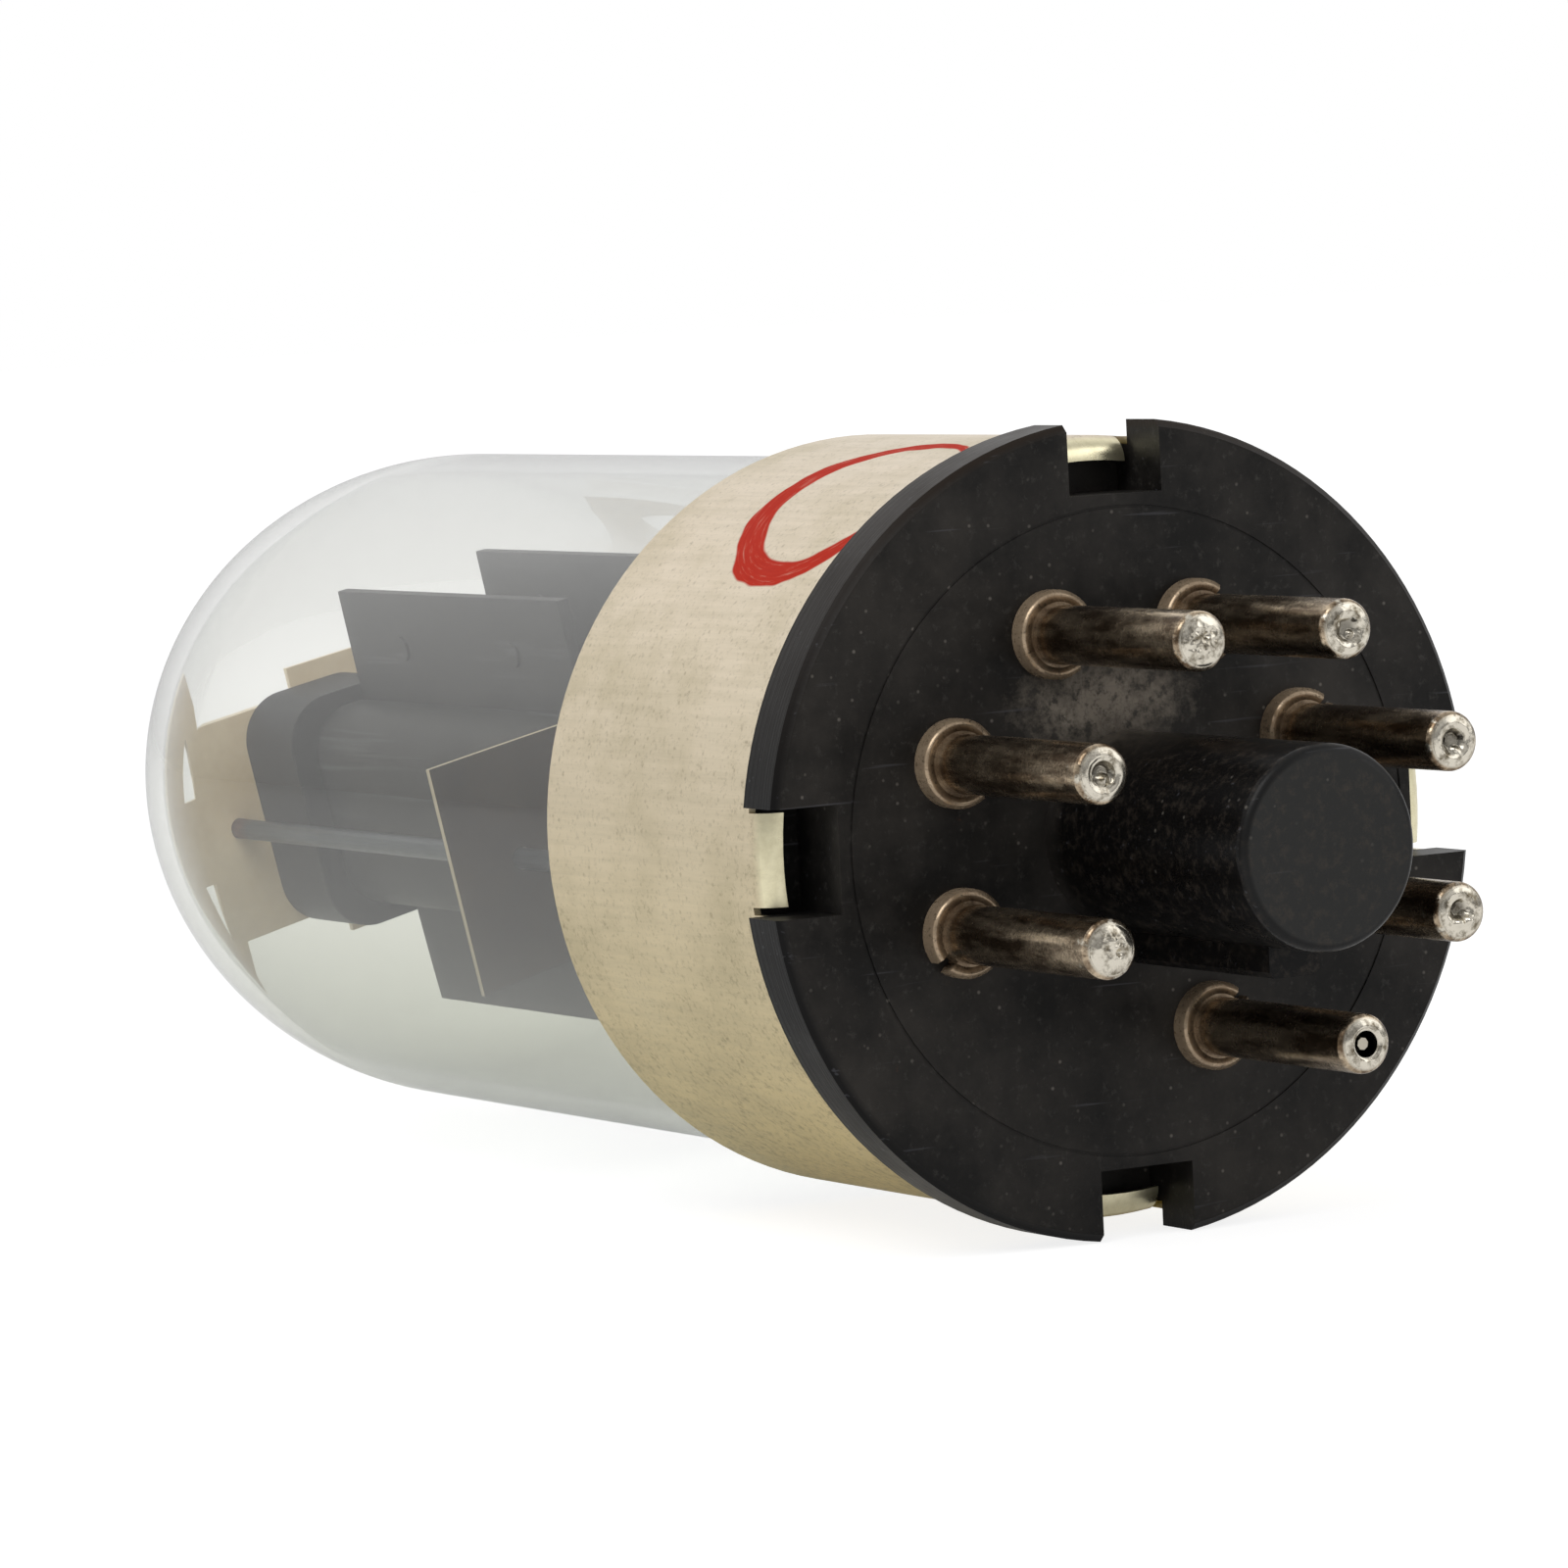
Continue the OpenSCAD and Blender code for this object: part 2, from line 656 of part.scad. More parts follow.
// What passes through a mica: rods, cathodes and the ears of the anodes.
module support_holes() {
    for (end = [-1, 1]) translate([end * support_x, 0]) circle(support_r + mica_fit, $fn = 32);
}

module electrode_holes() {
    for (end = [-1, 1])
        translate([end * triode_x, 0]) {
            circle(cathode_d / 2 + mica_fit, $fn = 32);
            for (y = [-1, 1]) translate([0, y * grid_rod_y]) circle(grid_rod_d / 2 + mica_fit, $fn = 32);
            for (x = [-1, 1])
                translate([x * ear_x, 0])
                    square([anode_t + 2 * mica_fit, ear_w + 2 * mica_fit], center = true);
        }
}

module lower_mica() color("#a08f78") in_cage()
    slab(lower_mica_at, lower_mica_at + mica_t)
        difference() {
            intersection() {
                circle(bulb_inside(lower_mica_at) - mica_play, $fn = 120);
                square([2 * lower_mica_half, 2 * lower_mica_side], center = true);
            }
            support_holes();
            electrode_holes();
        }

// The upper mica has a wide middle, and at each end a springy strip that bears on the glass, with two
// slots behind it.
module upper_mica_outline(r) {
    difference() {
        intersection() {
            circle(r, $fn = 120);
            union() {
                square([2 * mica_middle, 2 * upper_mica_side], center = true);
                square([2 * r, 2 * mica_neck_side], center = true);
                for (end = [-1, 1])
                    translate([end * (upper_mica_half - finger_in + r / 2), 0])
                        square([r, 2 * r], center = true);
            }
        }
        difference() {
            circle(r - finger_w, $fn = 120);
            square([2 * upper_mica_half, 2 * r], center = true);
            square([2 * r, 2 * mica_bridge], center = true);
        }
    }
}

module upper_mica() color("#cdbda6") in_cage()
    slab(upper_mica_at, upper_mica_at + mica_t)
        difference() {
            upper_mica_outline(bulb_inside(upper_mica_at + mica_t) - mica_play);
            support_holes();
            electrode_holes();
        }

// The top mica is a plain sheet that backs the upper one.
module top_mica() color("#cdbda6") in_cage()
    slab(top_mica_at, top_mica_at + mica_t)
        difference() {
            square([2 * top_mica_half, 2 * mica_neck_side], center = true);
            support_holes();
            electrode_holes();
        }

// Half of an anode: a stamped half box with a wider cuff towards the dome, two flat fins and two ears.
// The cuff of an outer half stands out to its side too. That of an inner half has no room there.
module half_wall(half_w, half_h, corner, wall) {
    difference() {
        intersection() {
            rounded_box(half_w, half_h, corner);
            translate([0, -half_h]) square([half_w, 2 * half_h]);
        }
        rounded_box(half_w - wall, half_h - wall, corner - anode_t);
    }
}

module anode_half(triode, way) color("#6c6f70") in_cage()
    translate([side(triode) * triode_x, 0, 0]) mirror([way * side(triode) < 0 ? 1 : 0, 0, 0]) {
        cuff_half_w = anode_half_w + (way > 0 ? cuff_out : 0);
        cuff_half_h = anode_half_h + cuff_rise;
        cuff_at = anode_top - cuff_l;
        slab(anode_low, cuff_at) half_wall(anode_half_w, anode_half_h, anode_corner, anode_t);
        slab(cuff_at, anode_top) half_wall(cuff_half_w, cuff_half_h, anode_corner, anode_t);
        slab(cuff_at - anode_t, cuff_at)
            difference() {
                intersection() {
                    rounded_box(cuff_half_w, cuff_half_h, anode_corner);
                    translate([0, -cuff_half_h]) square([cuff_half_w, 2 * cuff_half_h]);
                }
                rounded_box(anode_half_w - anode_t, anode_half_h - anode_t, anode_corner - anode_t);
            }
        for (y = [-1, 1]) {
            slab(anode_low + fin_short_low, anode_top - fin_short_top)
                translate([0, y > 0 ? anode_half_h - anode_t : -fin_edge])
                    square([anode_t, fin_edge - anode_half_h + anode_t]);
            for (part = [1, 3])
                translate([anode_t - seat, y * (fin_edge + anode_half_h) / 2, stake_z(part / 4)])
                    rotate([0, 90, 0]) cylinder(h = stake_h + seat, d = stake_d, $fn = 32);
        }
        slab(lower_mica_at - ear_over, upper_mica_at + mica_t + ear_over)
            translate([ear_x, 0]) square([anode_t, ear_w], center = true);
    }

function stake_z(part) = -(anode_low + fin_short_low) * (1 - part) - (anode_top - fin_short_top) * part;

// A grid: two side rods, and a wire wound round them.
module grid_rod(triode, end) color("#b08a5c") in_cage()
    translate([side(triode) * triode_x, end * grid_rod_y, -rod_top])
        cylinder(h = rod_top - rod_low, d = grid_rod_d, $fn = 32);

// The wire runs round each rod in three points and along each flat side in two.
tip_turn = 50;
wrap_r = (grid_rod_d / 2 + seat + grid_wire_d / 2) / cos(tip_turn / 2);
turn_points = concat(
    [for (a = [90 - tip_turn, 90, 90 + tip_turn]) [wrap_r * cos(a), grid_rod_y + wrap_r * sin(a)]],
    [for (y = [0.45, -0.45]) [-grid_half_w, y * grid_rod_y]],
    [for (a = [270 - tip_turn, 270, 270 + tip_turn]) [wrap_r * cos(a), -grid_rod_y + wrap_r * sin(a)]],
    [for (y = [-0.45, 0.45]) [grid_half_w, y * grid_rod_y]]
);
winding_low = lower_mica_at + mica_t + grid_margin;
winding_top = upper_mica_at - grid_margin;
corner_count = len(turn_points);
winding_turns = floor((winding_top - winding_low) / grid_pitch);
function turn_length(corner) = corner == 0 ? 0
    : turn_length(corner - 1) + norm(turn_points[corner % corner_count] - turn_points[corner - 1]);

module grid_winding(triode) color("#c2a070") in_cage() translate([side(triode) * triode_x, 0, 0])
    swept_wire([
        for (turn = [0 : winding_turns - 1])
            for (corner = [0 : corner_count - 1])
                let (climb = turn + turn_length(corner) / turn_length(corner_count))
                concat(turn_points[corner], -winding_low - climb * grid_pitch)
    ], grid_wire_d / 2, 4, [0, 0, 1]);

// A cathode: a thin nickel sleeve with a sprayed coat along the grid.
module cathode(triode) color("#d8d4c8") in_cage()
    translate([side(triode) * triode_x, 0, 0])
        difference() {
            union() {
                translate([0, 0, -cathode_top])
                    cylinder(h = cathode_top - cathode_low, d = cathode_d, $fn = 48);
                translate([0, 0, -winding_top])
                    cylinder(h = winding_top - winding_low, d = cathode_d + 2 * coat_t, $fn = 48);
            }
            translate([0, 0, -cathode_top - past])
                cylinder(
                    h = cathode_top - cathode_low + 2 * past, d = cathode_d - 2 * cathode_wall, $fn = 48
                );
        }

// A heater: a coated hairpin that hangs inside the cathode.
module heater(triode) color("#efefe9") in_cage()
    translate([side(triode) * triode_x, 0, 0]) {
        for (leg = [-1, 1])
            translate([leg * heater_gap / 2, 0, -winding_top])
                cylinder(h = winding_top - leg_low, d = heater_d, $fn = 24);
        translate([0, 0, -winding_top]) rotate([-90, 0, 0]) rotate_extrude(angle = 180, $fn = 24)
            translate([heater_gap / 2, 0]) circle(d = heater_d, $fn = 24);
    }

module heater_link() color("#b9b4aa") in_cage() {
    reach = triode_x - heater_gap / 2 + heater_d / 2;
    translate([-reach, 0, -leg_low + seat + heater_d / 2]) rotate([0, 90, 0])
        cylinder(h = 2 * reach, d = heater_d, $fn = 24);
}

module cathode_link() color("#b9b4aa") in_cage()
    translate([-triode_x - strap_w, -strap_y, -cathode_low - strap_w - strap_margin])
        cube([2 * (triode_x + strap_w), strap_t, strap_w]);

module getter_cup() color("#8b8a86") in_cage()
    translate([support_x + support_r + seat, 0, -(leg_low + lower_mica_at) / 2]) rotate([0, 90, 0])
        difference() {
            cylinder(h = getter_h, d = getter_d, $fn = 48);
            translate([0, 0, getter_wall]) cylinder(h = getter_h, d = getter_d - 2 * getter_wall, $fn = 48);
        }

base_wafer();
base_sleeve();
base_cement();
glass_bulb();
glass_stem();
pin(2);  // pin_2
pin(3);  // pin_3
pin(4);  // pin_4
pin(5);  // pin_5
pin(6);  // pin_6
pin(7);  // pin_7
pin(8);  // pin_8
solder(2);  // solder_2
solder(3);  // solder_3
solder(4);  // solder_4
solder(5);  // solder_5
solder(6);  // solder_6
solder(7);  // solder_7
solder(8);  // solder_8
lead(2);  // lead_2
lead(3);  // lead_3
lead(4);  // lead_4
lead(5);  // lead_5
lead(6);  // lead_6
lead(7);  // lead_7
lead(8);  // lead_8
lower_mica();
upper_mica();
top_mica();
support_rod(1);  // support_rod_1
support_rod(-1);  // support_rod_2
anode_half(1, 1);  // anode_1_outer
anode_half(1, -1);  // anode_1_inner
anode_half(2, 1);  // anode_2_outer
anode_half(2, -1);  // anode_2_inner
grid_rod(1, 1);  // grid_rod_1a
grid_rod(1, -1);  // grid_rod_1b
grid_rod(2, 1);  // grid_rod_2a
grid_rod(2, -1);  // grid_rod_2b
grid_winding(1);  // grid_winding_1
grid_winding(2);  // grid_winding_2
cathode(1);  // cathode_1
cathode(2);  // cathode_2
heater(1);  // heater_1
heater(2);  // heater_2
heater_link();
cathode_link();
getter_cup();
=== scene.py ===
"""Twin triode tube lying on its side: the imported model's pieces, dressed in order of assembly."""
import math

import bpy
from mathutils import Matrix, Vector, noise


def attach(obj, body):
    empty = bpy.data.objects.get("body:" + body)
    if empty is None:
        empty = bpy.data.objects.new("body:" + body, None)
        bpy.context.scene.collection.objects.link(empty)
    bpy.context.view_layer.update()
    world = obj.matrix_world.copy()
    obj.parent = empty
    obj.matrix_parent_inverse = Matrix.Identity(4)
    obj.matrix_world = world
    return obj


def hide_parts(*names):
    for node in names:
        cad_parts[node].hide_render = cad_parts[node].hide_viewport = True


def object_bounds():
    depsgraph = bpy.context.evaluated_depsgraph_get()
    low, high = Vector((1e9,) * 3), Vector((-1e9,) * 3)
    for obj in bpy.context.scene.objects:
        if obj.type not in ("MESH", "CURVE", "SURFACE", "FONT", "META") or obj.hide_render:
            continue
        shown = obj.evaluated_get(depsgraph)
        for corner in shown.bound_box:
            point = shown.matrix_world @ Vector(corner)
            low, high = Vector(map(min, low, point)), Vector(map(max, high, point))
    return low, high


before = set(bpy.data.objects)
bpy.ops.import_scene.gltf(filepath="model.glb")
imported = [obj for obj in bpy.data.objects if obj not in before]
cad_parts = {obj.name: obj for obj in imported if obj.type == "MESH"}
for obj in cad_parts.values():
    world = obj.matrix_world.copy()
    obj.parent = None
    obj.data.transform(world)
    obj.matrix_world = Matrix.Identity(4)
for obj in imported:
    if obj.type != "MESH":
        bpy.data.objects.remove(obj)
cad_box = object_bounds()
bpy.ops.object.select_all(action="DESELECT")

# Base wafer. One compression moulding of black phenolic resin with a wood-flour filler: flange,
# hollow post and key together. The face has a satin skin with pale filler flecks, the post is
# glossier, and flux from soldering has left a chalky bloom beside it.
mm = 0.001
rim_radius = 16.25 * mm
post_foot = 1.2 * mm
post_end = 14.05 * mm
post_end_radius = 3.75 * mm
bloom_at = (0, -1.0 * mm, 5.2 * mm)
bloom_size = (6 * mm, 7.5 * mm, 3.2 * mm)


def linear(code):
    """An sRGB hex colour as the linear colour that Blender's sockets take."""
    parts = [int(code[i:i + 2], 16) / 255 for i in (1, 3, 5)]
    return [p / 12.92 if p <= 0.04045 else ((p + 0.055) / 1.055) ** 2.4 for p in parts] + [1]


def blank(name):
    """A new node material, named for the real one, with nothing in it yet."""
    material = bpy.data.materials.new(name)
    material.use_nodes = True
    material.node_tree.nodes.clear()
    return material


def put(material, kind, own=None, **into):
    """Adds a node: own holds its settings, and into its inputs, as values, outputs or whole nodes.

    An input is named with underscores for spaces, or as in_0, in_1 by its place. A whole node gives
    its first output that is in use.
    """
    node = material.node_tree.nodes.new("ShaderNode" + kind)
    for name, value in (own or {}).items():
        setattr(node, name, value)
    for name, value in into.items():
        key = int(name[3:]) if name.startswith("in_") else name.replace("_", " ")
        if isinstance(value, bpy.types.Node):
            value = next(o for o in value.outputs if o.enabled)
        if isinstance(value, bpy.types.NodeSocket):
            material.node_tree.links.new(value, node.inputs[key])
        else:
            node.inputs[key].default_value = value
    return node


def dress(material, *names):
    """Gives CAD nodes their real material in place of the plain one."""
    for name in names:
        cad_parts[name].data.materials[0] = material


phenolic = blank("moulded black phenolic")
place = put(phenolic, "TexCoord").outputs["Object"]
spot = put(phenolic, "SeparateXYZ", Vector=place)
flat_place = put(phenolic, "VectorMath", {"operation": "MULTIPLY"}, in_0=place, in_1=(0, 1, 1))
radius = put(phenolic, "VectorMath", {"operation": "LENGTH"}, in_0=flat_place).outputs["Value"]
flow = put(phenolic, "TexNoise", Vector=place, Scale=1 / (6 * mm), Detail=6, Roughness=0.65)
fleck = put(phenolic, "TexNoise", Vector=place, Scale=1 / (0.5 * mm), Detail=4, Roughness=0.75)
mottle = put(phenolic, "MapRange", Value=flow, From_Min=0.38, From_Max=0.66)
base = put(phenolic, "MixRGB", Fac=mottle, Color1=linear("#151413"), Color2=linear("#312e2b"))
pale_fleck = put(phenolic, "MapRange", Value=fleck, From_Min=0.56, From_Max=0.76, To_Max=0.6)
base = put(phenolic, "MixRGB", Fac=pale_fleck, Color1=base, Color2=linear("#454340"))
grit = put(phenolic, "TexVoronoi", Vector=place, Scale=1 / (0.8 * mm))
grit = put(
    phenolic, "MapRange", Value=grit.outputs["Distance"],
    From_Min=0.12, From_Max=0.04, To_Max=0.7)
grit_here = put(phenolic, "MapRange", Value=flow, From_Min=0.44, From_Max=0.56)
grit = put(phenolic, "Math", {"operation": "MULTIPLY"}, in_0=grit, in_1=grit_here)
base = put(phenolic, "MixRGB", Fac=grit, Color1=base, Color2=linear("#6f6a64"))
on_rim = put(
    phenolic, "MapRange", Value=radius, From_Min=rim_radius - 0.25 * mm, From_Max=rim_radius)
# Painted light: the rim goes from near black low down to a warm brown at its top, lighter where the
# light falls from above.
rim_top_lit = put(phenolic, "MapRange", Value=spot.outputs["Z"], From_Min=2 * mm, From_Max=15 * mm)
rim = put(phenolic, "MixRGB", Fac=rim_top_lit, Color1=linear("#0a0909"), Color2=linear("#211912"))
base = put(phenolic, "MixRGB", Fac=on_rim, Color1=base, Color2=rim)
on_post = put(
    phenolic, "MapRange", Value=spot.outputs["X"],
    From_Min=post_foot - 1 * mm, From_Max=post_foot)
post_dust = put(phenolic, "MapRange", Value=fleck, From_Min=0.5, From_Max=0.75, To_Max=0.6)
on_end = put(
    phenolic, "MapRange", Value=spot.outputs["X"],
    From_Min=post_end - 0.15 * mm, From_Max=post_end, To_Max=0.75)
# Painted light: the end face is coloured lighter than the dark side of the post, where light falls
# on it.
post = put(phenolic, "MixRGB", Fac=on_end, Color1=linear("#0d0c0c"), Color2=linear("#30302f"))
post = put(phenolic, "MixRGB", Fac=post_dust, Color1=post, Color2=linear("#443d36"))
post = put(phenolic, "MixRGB", Fac=grit, Color1=post, Color2=linear("#66625c"))
# Painted shade: a dark ring at the end face's edge stands for the shade of its rounded shoulder.
end_edge_shade = put(
    phenolic, "MapRange", Value=radius,
    From_Min=post_end_radius - 0.13 * mm, From_Max=post_end_radius)
end_edge_shade = put(phenolic, "Math", {"operation": "MULTIPLY"}, in_0=end_edge_shade, in_1=on_end)
post = put(phenolic, "MixRGB", Fac=end_edge_shade, Color1=post, Color2=linear("#101011"))
base = put(phenolic, "MixRGB", Fac=on_post, Color1=base, Color2=post)
bloom_place = put(
    phenolic, "Mapping", {"vector_type": "TEXTURE"},
    Vector=place, Location=bloom_at, Scale=bloom_size)
bloom_reach = put(phenolic, "VectorMath", {"operation": "LENGTH"}, in_0=bloom_place)
bloom_near = put(
    phenolic, "MapRange", Value=bloom_reach.outputs["Value"], From_Min=1.05, From_Max=0.1)
bloom_cloud = put(phenolic, "TexNoise", Vector=place, Scale=1 / (1.1 * mm), Detail=8, Roughness=0.8)
bloom = put(phenolic, "Math", {"operation": "MULTIPLY"}, in_0=bloom_near, in_1=bloom_cloud)
bloom = put(phenolic, "MapRange", Value=bloom, From_Min=0.22, From_Max=0.5, To_Max=0.8)
bare = put(phenolic, "MapRange", Value=fleck, From_Min=0.64, From_Max=0.5, To_Min=0.2)
bloom = put(phenolic, "Math", {"operation": "MULTIPLY"}, in_0=bloom, in_1=bare)
base = put(phenolic, "MixRGB", Fac=bloom, Color1=base, Color2=linear("#8f867a"))
rust = put(phenolic, "TexNoise", Vector=place, Scale=1 / (2.4 * mm), Detail=8, Roughness=0.78)
rust = put(phenolic, "MapRange", Value=rust, From_Min=0.66, From_Max=0.74, To_Max=0.6)
base = put(phenolic, "MixRGB", Fac=rust, Color1=base, Color2=linear("#54341f"))
scuff_place = put(phenolic, "Mapping", Vector=place, Rotation=(0.7, 0, 0), Scale=(1, 0.04, 1))
scuff = put(
    phenolic, "TexNoise", Vector=scuff_place, Scale=1 / (0.28 * mm), Detail=2, Roughness=0.5)
scuff = put(phenolic, "MapRange", Value=scuff, From_Min=0.68, From_Max=0.76, To_Max=0.4)
base = put(phenolic, "MixRGB", Fac=scuff, Color1=base, Color2=linear("#55555a"))
satin = put(phenolic, "MapRange", Value=flow, From_Min=0.3, From_Max=0.7, To_Min=0.34, To_Max=0.5)
rough = put(phenolic, "Math", {"operation": "MULTIPLY_ADD"}, in_0=on_post, in_1=-0.12, in_2=satin)
rough = put(phenolic, "Math", {"operation": "MULTIPLY_ADD"}, in_0=bloom, in_1=0.4, in_2=rough)
turned_place = put(phenolic, "CombineXYZ", X=spot.outputs["X"])
turned = put(phenolic, "TexNoise", Vector=turned_place, Scale=1 / (0.18 * mm), Detail=2)
turned = put(phenolic, "Math", {"operation": "MULTIPLY"}, in_0=turned, in_1=on_rim)
relief = put(phenolic, "Math", {"operation": "MULTIPLY_ADD"}, in_0=turned, in_1=1.5, in_2=fleck)
skin = put(phenolic, "Bump", Strength=0.35, Distance=0.03 * mm, Height=relief)
shader = put(
    phenolic, "BsdfPrincipled",
    Base_Color=base, Roughness=rough, Specular_IOR_Level=0.15, Normal=skin)
put(phenolic, "OutputMaterial", Surface=shader)
dress(phenolic, "base_wafer")

# Pins. Drawn brass tube with a nickel flash, tarnished brown by handling and heat. The collar is
# pressed from the tube's own wall and is duller, with a rolled edge. Solder has tinned the tip and,
# in patches, the wall behind it.
pin_numbers = range(2, 9)
pin_circle = 8.725 * mm
pin_pitch = math.tau / 8
pin_end = 11 * mm
roll_inside = 1.3 * mm
roll_outside = 1.84 * mm

pin_brass = blank("tarnished nickel-plated brass")
place = put(pin_brass, "TexCoord").outputs["Object"]
spot = put(pin_brass, "SeparateXYZ", Vector=place)
along = spot.outputs["X"]
pin_turn = put(
    pin_brass, "Math", {"operation": "ARCTAN2"}, in_0=spot.outputs["Y"], in_1=spot.outputs["Z"])
pin_turn = put(pin_brass, "Math", {"operation": "WRAP"}, in_0=pin_turn, in_1=pin_pitch, in_2=0.0)
pin_turn = put(pin_brass, "Math", {"operation": "SUBTRACT"}, in_0=pin_turn, in_1=pin_pitch / 2)
flat_place = put(pin_brass, "VectorMath", {"operation": "MULTIPLY"}, in_0=place, in_1=(0, 1, 1))
radius = put(pin_brass, "VectorMath", {"operation": "LENGTH"}, in_0=flat_place).outputs["Value"]
across = put(pin_brass, "Math", {"operation": "SINE"}, in_0=pin_turn)
across = put(pin_brass, "Math", {"operation": "MULTIPLY"}, in_0=across, in_1=radius)
outward = put(pin_brass, "Math", {"operation": "COSINE"}, in_0=pin_turn)
outward = put(
    pin_brass, "Math", {"operation": "MULTIPLY_ADD"},
    in_0=outward, in_1=radius, in_2=-pin_circle)
own_place = put(pin_brass, "CombineXYZ", X=across, Y=outward)
own_radius = put(pin_brass, "VectorMath", {"operation": "LENGTH"}, in_0=own_place).outputs["Value"]
streak_place = put(pin_brass, "Mapping", Vector=place, Scale=(0.2, 1, 1))
streak = put(
    pin_brass, "TexNoise", Vector=streak_place, Scale=1 / (0.6 * mm), Detail=6, Roughness=0.7)
blot = put(pin_brass, "TexNoise", Vector=place, Scale=1 / (0.9 * mm), Detail=6, Roughness=0.7)
pit = put(pin_brass, "TexNoise", Vector=place, Scale=1 / (0.16 * mm), Detail=3, Roughness=0.65)
# The long light streaks are partly clean metal and partly painted highlight.
clean_and_glint = put(pin_brass, "MapRange", Value=streak, From_Min=0.42, From_Max=0.64)
base = put(pin_brass, "MixRGB", Fac=clean_and_glint, Color1=linear("#6a5845"), Color2=linear("#d0bda2"))
dark = put(pin_brass, "MapRange", Value=blot, From_Min=0.52, From_Max=0.68, To_Max=0.6)
base = put(pin_brass, "MixRGB", Fac=dark, Color1=base, Color2=linear("#3a3226"))
on_collar = put(
    pin_brass, "MapRange", Value=along, From_Min=1.2 * mm, From_Max=0.6 * mm, To_Max=0.85)
# Painted light and shade on the collar: darker towards the barrel, and lighter at its rolled outer
# edge as a highlight.
collar_shading = put(
    pin_brass, "MapRange", Value=own_radius, From_Min=1.35 * mm, From_Max=1.68 * mm)
collar_shading = put(
    pin_brass, "MixRGB", Fac=collar_shading, Color1=linear("#7d6a55"), Color2=linear("#bda68a"))
base = put(pin_brass, "MixRGB", Fac=on_collar, Color1=base, Color2=collar_shading)
dip_edge = put(
    pin_brass, "Math", {"operation": "MULTIPLY_ADD"}, in_0=blot, in_1=8 * mm, in_2=along)
tinned = put(
    pin_brass, "MapRange", Value=dip_edge,
    From_Min=pin_end + 4.3 * mm, From_Max=pin_end + 4.9 * mm)
on_tip = put(
    pin_brass, "MapRange", Value=along,
    From_Min=pin_end - 0.06 * mm, From_Max=pin_end - 0.01 * mm, To_Max=0.9)
tinned = put(pin_brass, "Math", {"operation": "MAXIMUM"}, in_0=tinned, in_1=on_tip)
base = put(pin_brass, "MixRGB", Fac=tinned, Color1=base, Color2=linear("#d9d3c4"))
grime = put(pin_brass, "MapRange", Value=pit, From_Min=0.57, From_Max=0.7, To_Max=0.7)
base = put(pin_brass, "MixRGB", Fac=grime, Color1=base, Color2=linear("#2a251c"))
metal = put(pin_brass, "MapRange", Value=on_collar, To_Min=0.97, To_Max=0.45)
rough = put(pin_brass, "MapRange", Value=blot, From_Min=0.3, From_Max=0.7, To_Min=0.16, To_Max=0.34)
wear = put(pin_brass, "Math", {"operation": "MULTIPLY_ADD"}, in_0=pit, in_1=0.5, in_2=blot)
roll = put(
    pin_brass, "MapRange", Value=own_radius,
    From_Min=roll_inside, From_Max=roll_outside, To_Max=math.pi)
roll = put(pin_brass, "Math", {"operation": "SINE"}, in_0=roll)
roll = put(pin_brass, "Math", {"operation": "MULTIPLY"}, in_0=roll, in_1=on_collar)
roll = put(pin_brass, "Bump", Strength=0.9, Distance=0.3 * mm, Height=roll)
wear = put(pin_brass, "Bump", Strength=0.4, Distance=0.03 * mm, Height=wear, Normal=roll)
shader = put(
    pin_brass, "BsdfPrincipled",
    Base_Color=base, Metallic=metal, Roughness=rough, Normal=wear)
put(pin_brass, "OutputMaterial", Surface=shader)
dress(pin_brass, *[f"pin_{k}" for k in pin_numbers])

# Sleeve. Sheet brass with a nickel wash that has aged to champagne, finely drawn along its length,
# with brown specks that gather low down and along the wafer. Its four tabs are curled into the
# notches, and their brightness is a painted highlight. A ring of red paint was brushed on its upper
# side.
sleeve_radius = 15.7 * mm
tabs_from = -3.2 * mm

# The painted ring: its centre, along the tube and round it from the side at -Y, its radius, half
# its stroke and how much that swells, where it is widest, and how far the hand strayed.
ring_centre = (-8.0 * mm, 16.9 * mm)
ring_radius = 4.9 * mm
half_stroke = 0.52 * mm
stroke_swell = 0.3 * mm
widest_turn = -2.6
hand_stray = 0.45 * mm

plated = blank("aged nickel-washed brass sheet")
place = put(plated, "TexCoord").outputs["Object"]
spot = put(plated, "SeparateXYZ", Vector=place)
height = put(plated, "MapRange", Value=spot.outputs["Z"], From_Min=-15 * mm, From_Max=14 * mm)
stain = put(plated, "TexNoise", Vector=place, Scale=1 / (4.5 * mm), Detail=6, Roughness=0.62)
speck = put(plated, "TexNoise", Vector=place, Scale=1 / (0.34 * mm), Detail=4, Roughness=0.7)
dust = put(plated, "TexNoise", Vector=place, Scale=1 / (0.2 * mm), Detail=2, Roughness=0.6)
# Painted light and shade: the sheet is darker and yellower low down and lightest at its top, where
# the light falls.
sleeve_low_shade = put(plated, "MixRGB", Fac=height, Color1=linear("#d0be82"), Color2=linear("#ddd2b8"))
base = put(plated, "MixRGB", Fac=height, Color1=sleeve_low_shade, Color2=linear("#e2d5c1"))
